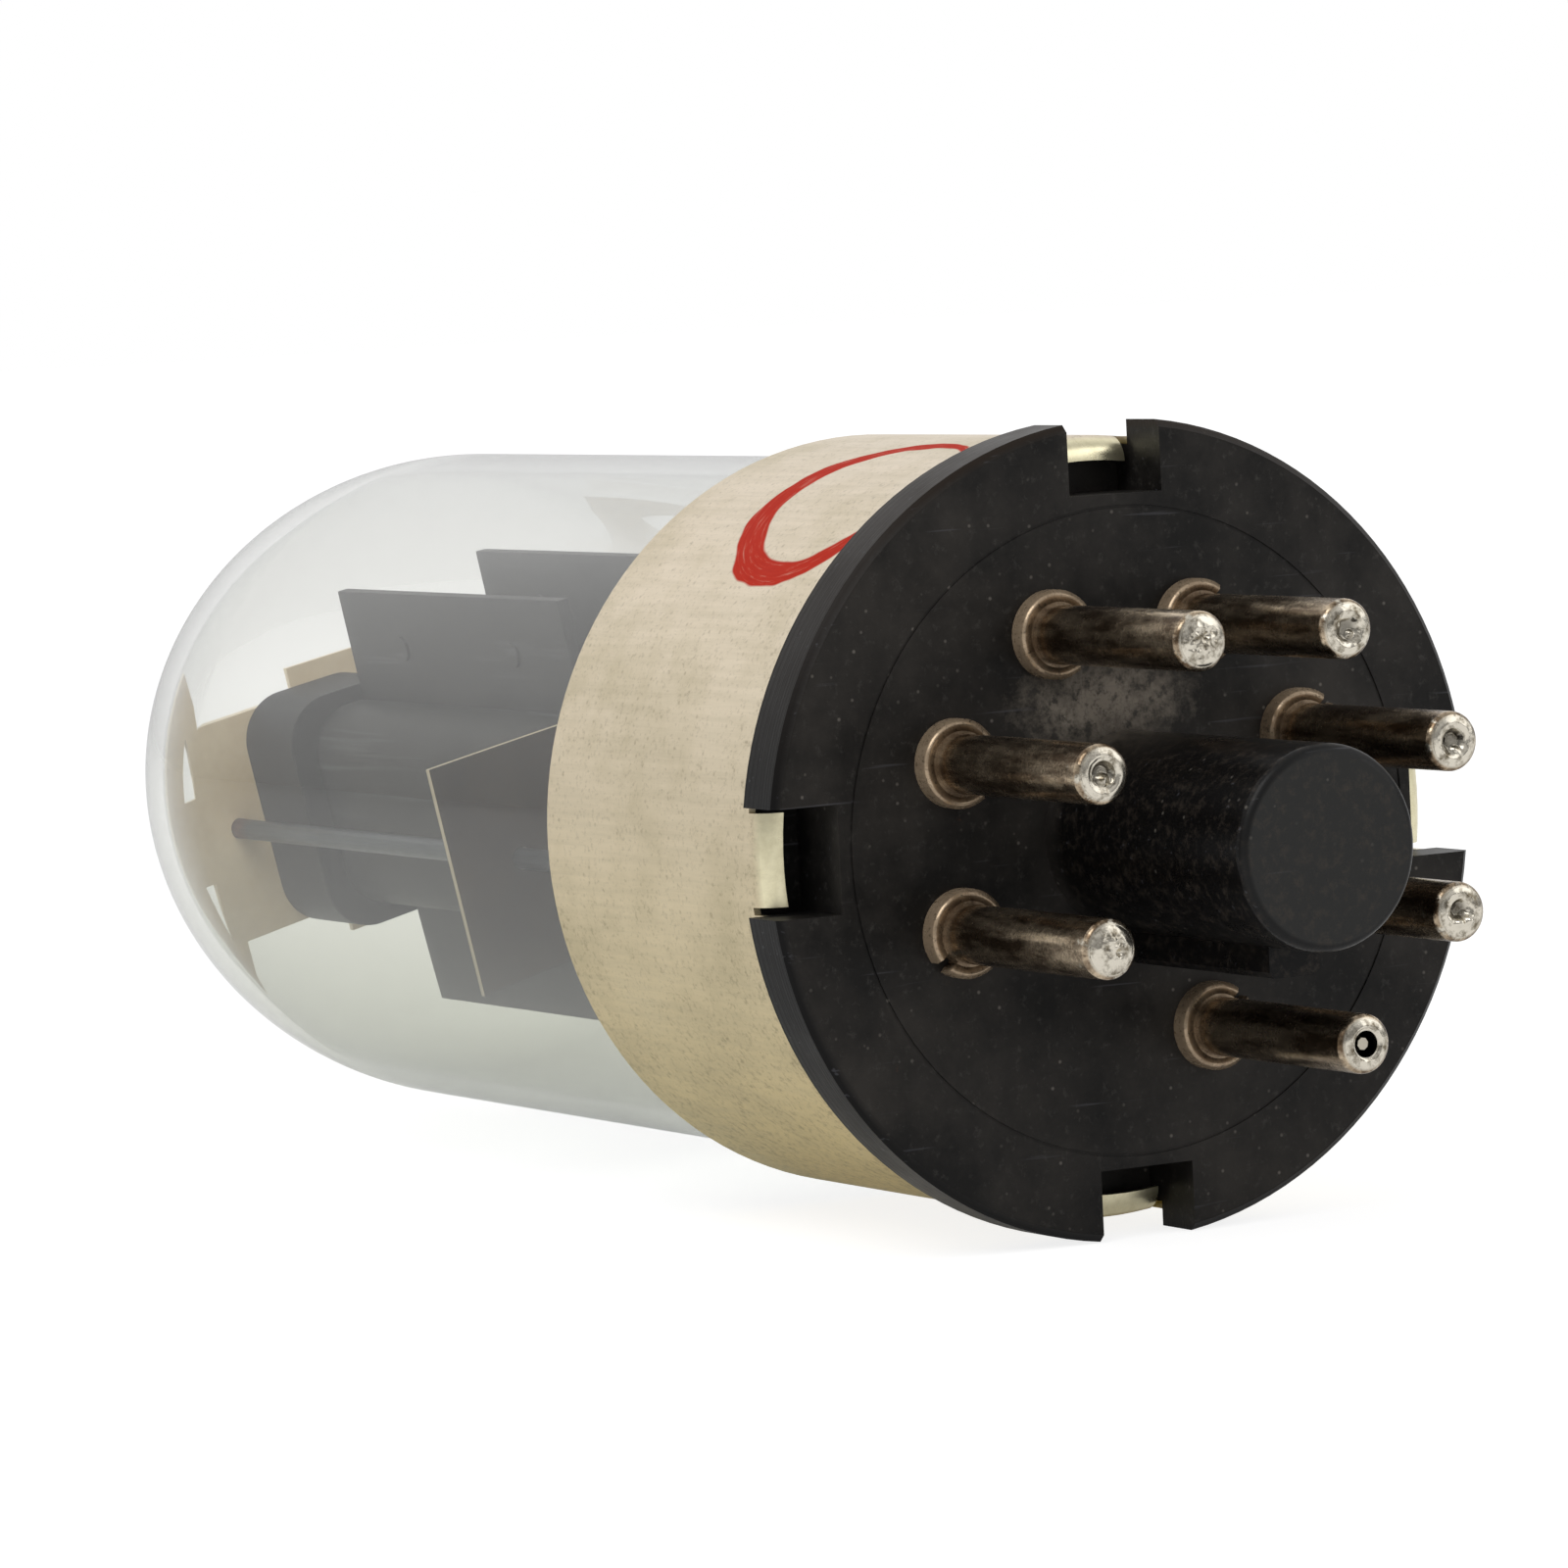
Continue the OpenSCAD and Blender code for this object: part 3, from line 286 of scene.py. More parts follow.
# The draw marks are coarser than real ones, so that they show.
drawn_place = put(plated, "Mapping", Vector=place, Scale=(0.05, 1, 1))
drawn = put(plated, "TexNoise", Vector=drawn_place, Scale=1 / (0.4 * mm), Detail=4, Roughness=0.7)
streaky = put(plated, "MapRange", Value=drawn, From_Min=0.4, From_Max=0.68, To_Max=0.22)
base = put(plated, "MixRGB", Fac=streaky, Color1=base, Color2=linear("#a89f83"))
yellowed = put(plated, "MapRange", Value=stain, From_Min=0.45, From_Max=0.7, To_Max=0.4)
base = put(plated, "MixRGB", Fac=yellowed, Color1=base, Color2=linear("#b9af90"))
low = put(plated, "MapRange", Value=height, From_Min=0.5, From_Max=0, To_Max=0.12)
beside_wafer = put(
    plated, "MapRange", Value=spot.outputs["X"],
    From_Min=-6 * mm, From_Max=-2.4 * mm, To_Max=0.08)
dirt = put(plated, "Math", {"operation": "ADD"}, in_0=low, in_1=beside_wafer)
dirt = put(plated, "Math", {"operation": "ADD"}, in_0=dirt, in_1=speck)
dirt = put(plated, "Math", {"operation": "MULTIPLY_ADD"}, in_0=stain, in_1=0.14, in_2=dirt)
dirty = put(plated, "MapRange", Value=dirt, From_Min=0.67, From_Max=0.88, To_Max=0.5)
base = put(plated, "MixRGB", Fac=dirty, Color1=base, Color2=linear("#6a5d42"))
dusty = put(plated, "MapRange", Value=dust, From_Min=0.56, From_Max=0.76, To_Max=0.3)
base = put(plated, "MixRGB", Fac=dusty, Color1=base, Color2=linear("#7f745a"))
dot = put(plated, "TexVoronoi", Vector=place, Scale=1 / (0.7 * mm))
dot = put(
    plated, "MapRange", Value=dot.outputs["Distance"],
    From_Min=0.16, From_Max=0.05, To_Max=0.3)
base = put(plated, "MixRGB", Fac=dot, Color1=base, Color2=linear("#7a6a4a"))
flat_place = put(plated, "VectorMath", {"operation": "MULTIPLY"}, in_0=place, in_1=(0, 1, 1))
radius = put(plated, "VectorMath", {"operation": "LENGTH"}, in_0=flat_place).outputs["Value"]
bent = put(
    plated, "MapRange", Value=radius,
    From_Min=sleeve_radius - 0.04 * mm, From_Max=sleeve_radius - 0.2 * mm)
in_front = put(
    plated, "MapRange", Value=spot.outputs["X"],
    From_Min=tabs_from, From_Max=tabs_from + 0.2 * mm)
on_tab = put(plated, "Math", {"operation": "MULTIPLY"}, in_0=bent, in_1=in_front)
# Painted highlight: the curled tabs are coloured bright, streaked with the draw marks.
tab_highlight = put(plated, "MixRGB", Fac=streaky, Color1=linear("#f3ebc8"), Color2=linear("#a89a6a"))
base = put(plated, "MixRGB", Fac=on_tab, Color1=base, Color2=tab_highlight)
back = put(plated, "Math", {"operation": "MULTIPLY"}, in_0=spot.outputs["Y"], in_1=-1.0)
turn = put(plated, "Math", {"operation": "ARCTAN2"}, in_0=spot.outputs["Z"], in_1=back)
arc = put(plated, "Math", {"operation": "MULTIPLY"}, in_0=turn, in_1=sleeve_radius)
ring_x = put(plated, "Math", {"operation": "SUBTRACT"}, in_0=spot.outputs["X"], in_1=ring_centre[0])
ring_y = put(plated, "Math", {"operation": "SUBTRACT"}, in_0=arc, in_1=ring_centre[1])
ring_at = put(plated, "CombineXYZ", X=ring_x, Y=ring_y)
ring_reach = put(plated, "VectorMath", {"operation": "LENGTH"}, in_0=ring_at).outputs["Value"]
ring_turn = put(plated, "Math", {"operation": "ARCTAN2"}, in_0=ring_y, in_1=ring_x)
hand = put(plated, "TexNoise", Vector=place, Scale=1 / (3 * mm), Detail=2)
hand = put(plated, "MapRange", Value=hand, To_Min=-hand_stray, To_Max=hand_stray)
press = put(plated, "Math", {"operation": "SUBTRACT"}, in_0=ring_turn, in_1=widest_turn)
press = put(plated, "Math", {"operation": "COSINE"}, in_0=press)
stroke = put(
    plated, "Math", {"operation": "MULTIPLY_ADD"},
    in_0=press, in_1=stroke_swell, in_2=half_stroke)
aside = put(plated, "Math", {"operation": "SUBTRACT"}, in_0=ring_reach, in_1=ring_radius)
aside = put(plated, "Math", {"operation": "ADD"}, in_0=aside, in_1=hand)
aside = put(plated, "Math", {"operation": "ABSOLUTE"}, in_0=aside)
inside = put(plated, "Math", {"operation": "SUBTRACT"}, in_0=stroke, in_1=aside)
painted = put(plated, "MapRange", Value=inside, From_Min=0, From_Max=0.1 * mm)
bristle_turn = put(plated, "Math", {"operation": "MULTIPLY"}, in_0=ring_turn, in_1=0.4 * mm)
bristle_place = put(plated, "CombineXYZ", X=ring_reach, Y=bristle_turn)
bristle = put(
    plated, "TexNoise", Vector=bristle_place, Scale=1 / (0.14 * mm), Detail=4, Roughness=0.65)
thin = put(plated, "MapRange", Value=bristle, From_Min=0.56, From_Max=0.76, To_Min=1, To_Max=0.6)
painted = put(plated, "Math", {"operation": "MULTIPLY"}, in_0=painted, in_1=thin)
paint = put(plated, "MixRGB", Fac=bristle, Color1=linear("#a81c0e"), Color2=linear("#cf3418"))
base = put(plated, "MixRGB", Fac=painted, Color1=base, Color2=paint)
metal = put(plated, "MapRange", Value=painted, To_Min=1, To_Max=0)
rough = put(plated, "MapRange", Value=stain, From_Min=0.3, From_Max=0.7, To_Min=0.42, To_Max=0.54)
rough = put(plated, "Math", {"operation": "MULTIPLY_ADD"}, in_0=on_tab, in_1=-0.2, in_2=rough)
rough = put(plated, "Math", {"operation": "MULTIPLY_ADD"}, in_0=painted, in_1=0.3, in_2=rough)
grain = put(plated, "Bump", Strength=0.25, Distance=0.02 * mm, Height=drawn)
shader = put(
    plated, "BsdfPrincipled", Base_Color=base, Metallic=metal, Roughness=rough,
    Specular_IOR_Level=0.2, Normal=grain)
put(plated, "OutputMaterial", Surface=shader)
dress(plated, "base_sleeve")

# Cement. A ring of basing cement, a filled resin paste that was baked hard between the sleeve and
# the glass and holds the two together. It is sandy brown and dull, with a lumpy face.
cement = blank("baked basing cement")
place = put(cement, "TexCoord").outputs["Object"]
sand = put(cement, "TexNoise", Vector=place, Scale=1 / (0.4 * mm), Detail=4)
base = put(cement, "MixRGB", Fac=sand, Color1=linear("#6f6548"), Color2=linear("#a89c78"))
lumps = put(cement, "Bump", Strength=0.5, Distance=0.1 * mm, Height=sand)
shader = put(cement, "BsdfPrincipled", Base_Color=base, Roughness=0.9, Normal=lumps)
put(cement, "OutputMaterial", Surface=shader)
dress(cement, "base_cement")

# Stem. Lead glass tube, flared at one end and pressed flat round the wires at the other while it
# was soft. It is clear, and its wall is darker and a little green where it turns away.
glass_ior = 1.51
glass_sheen = (0.4, 0.4, 0.4, 1)
edge_falloff = 2.6


def clear_glass(name, facing, edge, low):
    """Clear glass that lets lamplight through, greyer towards its edge and with painted shade on
    its low side.

    Its sheen is held down, so that the white room doesn't veil what stands behind the wall.
    """
    glass = blank(name)
    graze = put(glass, "LayerWeight", Blend=0.5).outputs["Facing"]
    graze = put(glass, "Math", {"operation": "POWER"}, in_0=graze, in_1=edge_falloff)
    tint = put(glass, "MixRGB", Fac=graze, Color1=linear(facing), Color2=linear(edge))
    height = put(glass, "SeparateXYZ", Vector=put(glass, "TexCoord").outputs["Object"]).outputs["Z"]
    # Painted shade: the glass is greyed towards its low side.
    height = put(glass, "MapRange", Value=height, From_Min=4 * mm, From_Max=-15 * mm)
    glass_low_shade = put(glass, "MixRGB", Fac=height, Color1=(1, 1, 1, 1), Color2=linear(low))
    tint = put(glass, "MixRGB", {"blend_type": "MULTIPLY"}, Fac=1, Color1=tint, Color2=glass_low_shade)
    wall = put(
        glass, "BsdfPrincipled", Base_Color=tint, Roughness=0, IOR=glass_ior,
        Specular_Tint=glass_sheen, Transmission_Weight=1)
    shadow = put(glass, "BsdfTransparent", Color=linear("#eef0ee"))
    lamp_ray = put(glass, "LightPath").outputs["Is Shadow Ray"]
    both = put(glass, "MixShader", in_0=lamp_ray, in_1=wall, in_2=shadow)
    put(glass, "OutputMaterial", Surface=both)
    return glass


# The last colour is a faint painted shade on the stem's low side.
dress(clear_glass("pressed lead glass", "#f0f2ee", "#c6ccc4", "#f4f5f1"), "glass_stem")

# Bulb. Soda-lime glass, blown in a mould and sealed to the flare of the stem. It is clear, and grey
# where the wall turns away, with painted shade greying it underneath. Its outline is a straight
# wall, a side arc and a round tip, each tangent to the next, turned round the tube's axis.
bulb_wall = 0.8 * mm
bulb_radius = 14.75 * mm
dome_at = 55.6 * mm
tip_radius = 11.8 * mm
tip_at = 63 * mm
foot_at = 12 * mm
foot_radius = 4 * mm
side_radius = (bulb_radius ** 2 - tip_radius ** 2 + (tip_at - dome_at) ** 2) / (
    2 * (bulb_radius - tip_radius))
side_turn = math.atan2(tip_at - dome_at, side_radius - bulb_radius)
foot_steps = 16
wall_steps = 12
dome_steps = 24
lathe_steps = 240
lathe_merge = 0.002 * mm
smooth_under = math.radians(50)


def arc_points(centre, r, start, end, count):
    """Points along an arc between two turns, as distance from the wafer and from the axis."""
    turns = [start + (end - start) * i / count for i in range(count + 1)]
    return [(centre[0] + r * math.sin(t), centre[1] + r * math.cos(t)) for t in turns]


def bulb_outline(inset):
    """One face of the wall, from foot to tip, as distance from the wafer and from the axis."""
    foot = (foot_at, bulb_radius - foot_radius)
    side = (dome_at, bulb_radius - side_radius)
    tip = (tip_at, 0)
    points = arc_points(foot, foot_radius - inset, -math.pi / 2, 0, foot_steps)
    for i in range(1, wall_steps):
        points.append((foot_at + (dome_at - foot_at) * i / wall_steps, bulb_radius - inset))
    points += arc_points(side, side_radius - inset, 0, side_turn, dome_steps)
    points += arc_points(tip, tip_radius - inset, side_turn, math.pi / 2, dome_steps)[1:]
    return points


outline = bulb_outline(0) + bulb_outline(bulb_wall)[::-1]
bulb_mesh = bpy.data.meshes.new("glass_bulb_blown")
bulb_mesh.from_pydata(
    [(-at, max(r, 0), 0) for at, r in outline],
    [(i, i + 1) for i in range(len(outline) - 1)] + [(len(outline) - 1, 0)], [])
bulb = bpy.data.objects.new("glass_bulb_blown", bulb_mesh)
bpy.context.collection.objects.link(bulb)
bpy.context.view_layer.objects.active = bulb
bulb.select_set(True)
lathe = bulb.modifiers.new("lathe", "SCREW")
lathe.axis = "X"
lathe.steps = lathe.render_steps = lathe_steps
lathe.use_merge_vertices = True
lathe.merge_threshold = lathe_merge
bpy.ops.object.modifier_apply(modifier=lathe.name)
bpy.ops.object.mode_set(mode="EDIT")
bpy.ops.mesh.select_all(action="SELECT")
bpy.ops.mesh.remove_doubles(threshold=lathe_merge)
bpy.ops.mesh.normals_make_consistent(inside=False)
bpy.ops.object.mode_set(mode="OBJECT")
bpy.ops.object.shade_smooth_by_angle(angle=smooth_under)
bulb.data.materials.append(clear_glass("blown soda-lime glass", "#f8f8f6", "#8f928d", "#dcded4"))
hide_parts("glass_bulb")
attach(bulb, "root")
bpy.ops.object.select_all(action="DESELECT")

# Leads. Drawn nickel wire, browned by the flame that sealed it into the press, and bright where
# solder wets it in the pins. The links between the heaters and between the cathodes are like it.
wetted_from = 9 * mm

wire = blank("oxidised nickel wire")
place = put(wire, "TexCoord").outputs["Object"]
burn = put(wire, "TexNoise", Vector=place, Scale=1 / (1.5 * mm), Detail=4)
along = put(wire, "SeparateXYZ", Vector=place).outputs["X"]
base = put(wire, "MixRGB", Fac=burn, Color1=linear("#7c6044"), Color2=linear("#b8a084"))
wetted = put(
    wire, "MapRange", Value=along, From_Min=wetted_from, From_Max=wetted_from + 1 * mm)
base = put(wire, "MixRGB", Fac=wetted, Color1=base, Color2=linear("#cbc4b4"))
shader = put(wire, "BsdfPrincipled", Base_Color=base, Metallic=1, Roughness=0.38)
put(wire, "OutputMaterial", Surface=shader)
dress(wire, *[f"lead_{k}" for k in pin_numbers], "heater_link", "cathode_link")

# Support rods. Stouter wire of nickel-plated iron, bent to stand in the press and carry the micas.
# It is blue grey, with a rusty blush at the upper mica.
blush_from = -60.2 * mm

rod = blank("nickel-plated iron rod")
place = put(rod, "TexCoord").outputs["Object"]
along = put(rod, "SeparateXYZ", Vector=place).outputs["X"]
burn = put(rod, "TexNoise", Vector=place, Scale=1 / (1.5 * mm), Detail=4)
base = put(rod, "MixRGB", Fac=burn, Color1=linear("#45494d"), Color2=linear("#63676b"))
blush = put(
    rod, "MapRange", Value=along,
    From_Min=blush_from, From_Max=blush_from - 1 * mm, To_Max=0.8)
base = put(rod, "MixRGB", Fac=blush, Color1=base, Color2=linear("#6e4a3c"))
shader = put(rod, "BsdfPrincipled", Base_Color=base, Metallic=0.8, Roughness=0.4)
put(rod, "OutputMaterial", Surface=shader)
dress(rod, "support_rod_1", "support_rod_2")

# Micas. Sheets of split mica, punched to shape. The lower one is browned by heat, the upper pair is
# beige, and a painted highlight lightens their cut edges. Cleavage gives the face its shades and
# its satin gloss.
for names, shade, light, edge_highlight in (
    (("lower_mica",), "#22170a", "#3c2e1c", "#c4b79a"),
    (("upper_mica", "top_mica"), "#dcc49c", "#f2dfbd", "#eadbbf"),
):
    mica = blank("split mica sheet " + names[0])
    place = put(mica, "TexCoord").outputs["Object"]
    facing = put(mica, "NewGeometry").outputs["Normal"]
    side_on = put(mica, "SeparateXYZ", Vector=facing).outputs["X"]
    side_on = put(mica, "Math", {"operation": "ABSOLUTE"}, in_0=side_on)
    layer = put(mica, "TexNoise", Vector=place, Scale=1 / (5 * mm), Detail=6, Roughness=0.7)
    layer = put(mica, "MapRange", Value=layer, From_Min=0.35, From_Max=0.65)
    base = put(mica, "MixRGB", Fac=layer, Color1=linear(shade), Color2=linear(light))
    # Painted highlight: faces turned edge-on are coloured paler.
    on_edge = put(mica, "MapRange", Value=side_on, From_Min=0.7, From_Max=0.4)
    base = put(mica, "MixRGB", Fac=on_edge, Color1=base, Color2=linear(edge_highlight))
    scratch = put(mica, "TexNoise", Vector=place, Scale=1 / (0.3 * mm), Detail=3)
    scratch = put(mica, "Bump", Strength=0.15, Distance=0.02 * mm, Height=scratch)
    shader = put(
        mica, "BsdfPrincipled",
        Base_Color=base, Roughness=0.35, Specular_IOR_Level=0.25, Normal=scratch)
    put(mica, "OutputMaterial", Surface=shader)
    dress(mica, *names)

# Anodes. Stamped nickel-plated steel, carbonised a dull charcoal so that it sheds heat. Faint light
# lines along the box are painted highlights of its ridges. The cuff at the dome's end is darker,
# and the low side is painted darker, as shade.
cuff_from = -56.5 * mm

carbon = blank("carbonised nickel-plated steel")
place = put(carbon, "TexCoord").outputs["Object"]
spot = put(carbon, "SeparateXYZ", Vector=place)
along = spot.outputs["X"]
soot = put(carbon, "TexNoise", Vector=place, Scale=1 / (3 * mm), Detail=6, Roughness=0.6)
line_place = put(carbon, "Mapping", Vector=place, Scale=(0.03, 1, 1))
line = put(carbon, "TexNoise", Vector=line_place, Scale=1 / (0.35 * mm), Detail=3)
# The carbon's tooth is coarser than the real one, so that it shows.
tooth = put(carbon, "TexNoise", Vector=place, Scale=1 / (0.15 * mm), Detail=2)
base = put(carbon, "MixRGB", Fac=soot, Color1=linear("#2b2b29"), Color2=linear("#3e3d3a"))
# Painted highlight: faint light lines along the box stand for light on its ridges.
ridge_glints = put(carbon, "MapRange", Value=line, From_Min=0.58, From_Max=0.72, To_Max=0.35)
base = put(carbon, "MixRGB", Fac=ridge_glints, Color1=base, Color2=linear("#6c6e6f"))
on_cuff = put(
    carbon, "MapRange", Value=along,
    From_Min=cuff_from, From_Max=cuff_from - 1.1 * mm, To_Max=0.85)
base = put(carbon, "MixRGB", Fac=on_cuff, Color1=base, Color2=linear("#1a1917"))
# Painted shade: the box darkens towards its low side, turned away from the light.
anode_low_shade = put(
    carbon, "MapRange", Value=spot.outputs["Z"],
    From_Min=1 * mm, From_Max=-9 * mm, To_Max=0.8)
base = put(carbon, "MixRGB", Fac=anode_low_shade, Color1=base, Color2=linear("#070808"))
skin = put(carbon, "Bump", Strength=0.06, Distance=0.02 * mm, Height=tooth)
shader = put(
    carbon, "BsdfPrincipled",
    Base_Color=base, Roughness=0.55, Specular_IOR_Level=0.25, Normal=skin)
put(carbon, "OutputMaterial", Surface=shader)
dress(carbon, "anode_1_outer", "anode_1_inner", "anode_2_outer", "anode_2_inner")

# Grids. Nickel side rods, each pair wound with one fine molybdenum wire. A thin plating gives rods
# and wire a brassy tone.
grid_wire = blank("plated grid wire")
place = put(grid_wire, "TexCoord").outputs["Object"]
tone = put(grid_wire, "TexNoise", Vector=place, Scale=1 / (1 * mm), Detail=3)
base = put(grid_wire, "MixRGB", Fac=tone, Color1=linear("#a47e50"), Color2=linear("#d2ae7a"))
shader = put(grid_wire, "BsdfPrincipled", Base_Color=base, Metallic=1, Roughness=0.3)
put(grid_wire, "OutputMaterial", Surface=shader)
dress(grid_wire, *[f"grid_rod_{n}" for n in ("1a", "1b", "2a", "2b")])
dress(grid_wire, "grid_winding_1", "grid_winding_2")

# Cathodes and heaters. Nickel sleeves sprayed with chalk-white oxide, and tungsten hairpins coated
# with white alumina.
oxide = blank("sprayed oxide coat")
place = put(oxide, "TexCoord").outputs["Object"]
spray = put(oxide, "TexNoise", Vector=place, Scale=1 / (0.2 * mm), Detail=3)
base = put(oxide, "MixRGB", Fac=spray, Color1=linear("#cfcabc"), Color2=linear("#efece2"))
chalk = put(oxide, "Bump", Strength=0.4, Distance=0.03 * mm, Height=spray)
shader = put(oxide, "BsdfPrincipled", Base_Color=base, Roughness=0.9, Normal=chalk)
put(oxide, "OutputMaterial", Surface=shader)
dress(oxide, "cathode_1", "cathode_2", "heater_1", "heater_2")

# Getter. A cup pressed from nickel and welded to a support rod below the lower mica. Firing has
# left it a mottled, dull grey.
fired = blank("fired nickel")
place = put(fired, "TexCoord").outputs["Object"]
mottle = put(fired, "TexNoise", Vector=place, Scale=1 / (0.6 * mm), Detail=4)
base = put(fired, "MixRGB", Fac=mottle, Color1=linear("#56534f"), Color2=linear("#908c86"))
shader = put(fired, "BsdfPrincipled", Base_Color=base, Metallic=1, Roughness=0.5)
put(fired, "OutputMaterial", Surface=shader)
dress(fired, "getter_cup")

# Solder. Tin-lead solder, drawn up into each pin's tip round the end of its lead. No two set alike:
# one stands proud over the wire, others sank into craters with a bead in them, one left a hole.
wire_hole = 0.28 * mm
wire_end = 10.78 * mm
wire_cover = 0.03 * mm
wire_cover_radius = 0.34 * mm
fill_from = 7.98 * mm
fill_radius = 0.78 * mm
neck_from = 10.36 * mm
neck_radius = 0.53 * mm
brim_at = 11.003 * mm
brim_radius = 0.97 * mm

# The fill's hidden sides, as distance from the wafer and from the pin's axis: round the wire in the
# bore, in through the hole in the pin's end, and out under the crown.
sides = [
    (fill_from, wire_hole), (fill_from, fill_radius), (neck_from, fill_radius),
    (neck_from, neck_radius), (brim_at, neck_radius), (brim_at, brim_radius),
]
around = 48
crown_rings = 16
crown_film = 0.01 * mm
least_film = 0.006 * mm
hole_radius = 0.52 * mm
hole_depth = 0.9 * mm
wrinkle_size = 0.16 * mm
wrinkle_reach = 0.98 * mm
solder_merge = 0.0005 * mm

solder = blank("tin-lead solder")
place = put(solder, "TexCoord").outputs["Object"]
cooled = put(solder, "TexNoise", Vector=place, Scale=1 / (0.5 * mm), Detail=5, Roughness=0.65)
cool_tone = put(solder, "MapRange", Value=cooled, From_Min=0.34, From_Max=0.52)
base = put(solder, "MixRGB", Fac=cool_tone, Color1=linear("#776e5d"), Color2=linear("#e0d9ca"))
depth = put(solder, "SeparateXYZ", Vector=place).outputs["X"]
# Painted shade: the solder darkens where it sinks below the pin's end, in the craters and the hole.
sunk_shade = put(
    solder, "MapRange", Value=depth,
    From_Min=pin_end + 0.02 * mm, From_Max=pin_end - 0.28 * mm, To_Max=0.95)
base = put(solder, "MixRGB", Fac=sunk_shade, Color1=base, Color2=linear("#231e16"))
skin = put(solder, "Bump", Strength=0.25, Distance=0.05 * mm, Height=cooled)
shader = put(solder, "BsdfPrincipled", Base_Color=base, Metallic=1, Roughness=0.2, Normal=skin)
put(solder, "OutputMaterial", Surface=shader)

# For each pin: how proud the crown stands, the size of its wrinkles, whether the bore stays open to
# the wire, then its dents and beads as place across and up, radius and height, in millimetres.
tips = {
    2: (0.16, 0.035, False, [(0.0, 0.3, 0.19, 0.07), (0.3, -0.14, 0.22, -0.2)]),
    3: (0.1, 0.03, False, [(0.0, 0.0, 0.8, -0.6), (0.0, -0.14, 0.44, 0.56)]),
    4: (0.14, 0.06, False, [
        (0.12, 0.22, 0.2, -0.2), (0.14, -0.2, 0.3, 0.1), (0.45, 0.35, 0.2, -0.12)]),
    5: (0.12, 0.05, False, [
        (0.0, -0.02, 0.76, -0.5), (0.12, -0.16, 0.28, 0.3), (-0.3, 0.1, 0.2, 0.1)]),
    6: (0.1, 0.04, False, [
        (0.0, 0.02, 0.74, -0.6), (0.06, -0.26, 0.3, 0.26), (-0.33, 0.06, 0.17, -0.3)]),
    7: (0.12, 0.05, False, [
        (-0.1, 0.12, 0.68, -0.46), (-0.12, -0.36, 0.3, 0.24), (0.28, -0.34, 0.28, 0.2)]),
    8: (0.1, 0.03, True, [(0.03, 0.0, 0.7, -2.4)]),
}
for k, (crown, wrinkle, bare_wire, dents) in tips.items():
    turn = pin_pitch * (k - 0.5)
    middle = Vector((0, -pin_circle * math.sin(turn), -pin_circle * math.cos(turn)))
    inner = wire_hole if bare_wire else 0.0
    rings = [(at, r, False) for at, r in sides]
    for i in range(crown_rings + 1):
        rings.append((pin_end, brim_radius - (brim_radius - inner) * i / crown_rings, True))
    points = []
    for at, r, on_top in rings:
        for c in range(around):
            y = r * math.cos(math.tau * c / around)
            z = r * math.sin(math.tau * c / around)
            rise = 0
            if on_top:
                rise = crown * mm * (1 - (r / brim_radius) ** 4) + crown_film
                for across, up, reach, lift in dents:
                    away = math.hypot(y - across * mm, z - up * mm) / (reach * mm)
                    if away < 1:
                        rise += lift * mm * (1 - away * away * (3 - 2 * away))
                ripple = noise.noise(Vector((k, y / wrinkle_size, z / wrinkle_size)))
                rise += wrinkle * mm * ripple * (1 - (r / wrinkle_reach) ** 4)
                lowest = least_film if r > hole_radius else -hole_depth
                if not bare_wire and r < wire_cover_radius:
                    lowest = wire_end - pin_end + wire_cover
                rise = max(rise, lowest)
            points.append(middle + Vector((at + rise, y, z)))
    faces = []
    for a in range(len(rings) - 1):
        near, far = a * around, (a + 1) * around
        for c in range(around):
            after = (c + 1) % around
            faces.append((near + c, near + after, far + after, far + c))
    if bare_wire:
        last = (len(rings) - 1) * around
        faces += [(last + c, last + (c + 1) % around, (c + 1) % around, c) for c in range(around)]
    else:
        roof = len(points)
        for c in range(around):
            side = points[c] - middle
            points.append(middle + Vector((wire_end + wire_cover / 2, side.y, side.z)))
        faces += [(c, roof + c, roof + (c + 1) % around, (c + 1) % around) for c in range(around)]
        faces += [tuple(roof + c for c in range(around))]
    fill_mesh = bpy.data.meshes.new(f"solder_{k}_set")
    fill_mesh.from_pydata(points, [], faces)
    fill = bpy.data.objects.new(f"solder_{k}_set", fill_mesh)
    bpy.context.collection.objects.link(fill)
    bpy.context.view_layer.objects.active = fill
    fill.select_set(True)
    bpy.ops.object.mode_set(mode="EDIT")
    bpy.ops.mesh.select_all(action="SELECT")
    bpy.ops.mesh.remove_doubles(threshold=solder_merge)
    bpy.ops.mesh.normals_make_consistent(inside=False)
    bpy.ops.object.mode_set(mode="OBJECT")
    bpy.ops.object.shade_smooth_by_angle(angle=smooth_under)
    fill.data.materials.append(solder)
    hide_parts(f"solder_{k}")
    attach(fill, "root")
    bpy.ops.object.select_all(action="DESELECT")

# Floor. A plain white sheet under the tube. Where the camera, a reflection or the glass sees it, it
# glows white and keeps the tube's shadow.
floor_size = 4
floor_gap = 0.02 * mm
sheet_glow = 1.5
glow_share = 0.55
mirror_share = 0.3

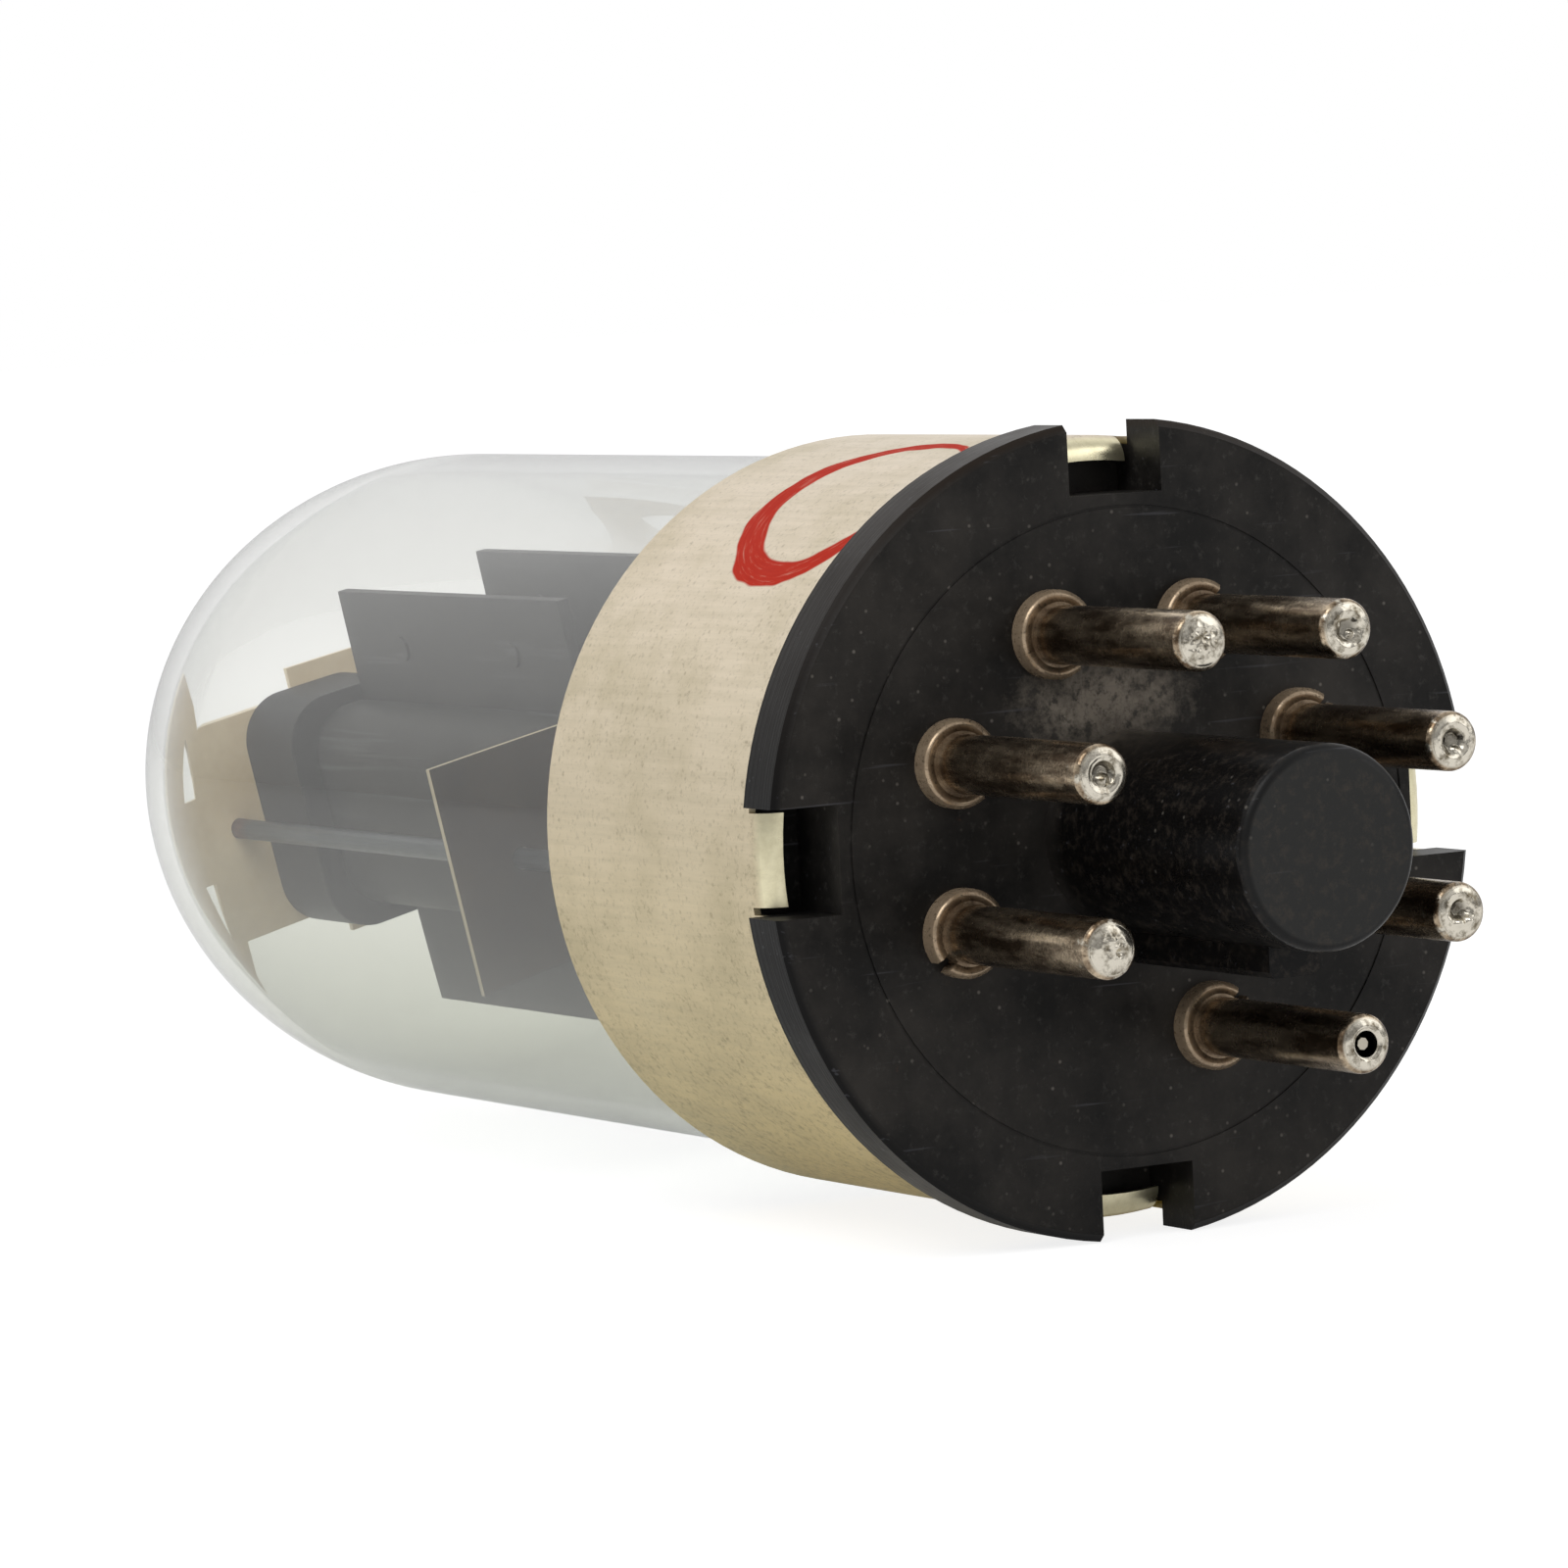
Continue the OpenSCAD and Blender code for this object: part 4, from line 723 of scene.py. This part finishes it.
bpy.ops.mesh.primitive_plane_add(size=floor_size, location=(0, 0, cad_box[0].z - floor_gap))
floor = bpy.context.object
floor.name = "floor"
paper = blank("white paper")
lit = put(paper, "BsdfDiffuse", Color=linear("#f4f4f4"))
glow = put(paper, "Emission", Color=(1, 1, 1, 1), Strength=sheet_glow)
glowing = put(paper, "MixShader", in_0=glow_share, in_1=lit, in_2=glow)
ray = put(paper, "LightPath")
seen = put(
    paper, "Math", {"operation": "ADD"},
    in_0=ray.outputs["Is Camera Ray"], in_1=ray.outputs["Is Transmission Ray"])
mirrored = put(
    paper, "Math", {"operation": "MULTIPLY"}, in_0=ray.outputs["Is Glossy Ray"], in_1=mirror_share)
seen = put(paper, "Math", {"operation": "MAXIMUM"}, in_0=seen, in_1=mirrored)
shader = put(paper, "MixShader", in_0=seen, in_1=lit, in_2=glowing)
put(paper, "OutputMaterial", Surface=shader)
floor.data.materials.append(paper)

# Light. A white room whose front is dimmer in reflections, so that bright metal has a dark side,
# with one large soft lamp above and to the left of the camera, and a weaker one on the right.
room_light = 0.55
lamps_face = Vector((-30 * mm, 0, 0))

world = bpy.data.worlds.new("white room")
bpy.context.scene.world = world
world.use_nodes = True
world.node_tree.nodes.clear()
ray = put(world, "LightPath")
way = put(world, "SeparateXYZ", Vector=put(world, "TexCoord").outputs["Generated"])
behind = put(
    world, "MapRange", Value=way.outputs["X"],
    From_Min=0.2, From_Max=-0.6, To_Min=0.15, To_Max=0.7)
above = put(world, "MapRange", Value=way.outputs["Z"], From_Min=0, From_Max=0.45, To_Max=0.4)
mirrored = put(world, "Math", {"operation": "ADD", "use_clamp": True}, in_0=behind, in_1=above)
mirrored = put(
    world, "Math", {"operation": "MULTIPLY"}, in_0=mirrored, in_1=ray.outputs["Is Glossy Ray"])
seen = put(
    world, "Math", {"operation": "ADD"},
    in_0=ray.outputs["Is Camera Ray"], in_1=ray.outputs["Is Transmission Ray"])
seen = put(world, "Math", {"operation": "MAXIMUM"}, in_0=seen, in_1=mirrored)
soft = put(
    world, "Math", {"operation": "MULTIPLY"}, in_0=ray.outputs["Is Diffuse Ray"], in_1=room_light)
level = put(world, "Math", {"operation": "ADD"}, in_0=seen, in_1=soft)
room = put(world, "Background", Color=(1, 1, 1, 1), Strength=level)
put(world, "OutputWorld", Surface=room)
for name, lamp_at, size, power in (
    ("key", (0.25, -0.5, 0.7), 0.5, 2.6),
    ("fill", (0.45, 0.55, 0.35), 0.6, 1.2),
):
    bpy.ops.object.light_add(type="AREA", location=lamp_at)
    lamp = bpy.context.object
    lamp.name = name
    lamp.data.size = size
    lamp.data.energy = power
    lamp.rotation_euler = (lamps_face - lamp.location).to_track_quat("-Z", "Y").to_euler()

# Camera. It stands where the photograph was taken from, with a long lens. Its place and the three
# directions of its frame come from fitting the pins, the post and the flange to the photograph.
camera_at = (256.785 * mm, -161.654 * mm, 25.538 * mm)
right = Vector((0.49673, 0.86648, -0.04961))
down = Vector((0.04107, -0.08056, -0.99590))
ahead = Vector((-0.86693, 0.49266, -0.07560))

bpy.ops.object.camera_add(location=camera_at)
camera = bpy.context.object
camera.rotation_euler = Matrix((right, -down, -ahead)).transposed().to_euler()
camera.data.sensor_width = 36
camera.data.lens = 176
camera.data.clip_start = 0.02
bpy.context.scene.camera = camera
bpy.context.scene.view_settings.view_transform = "Standard"
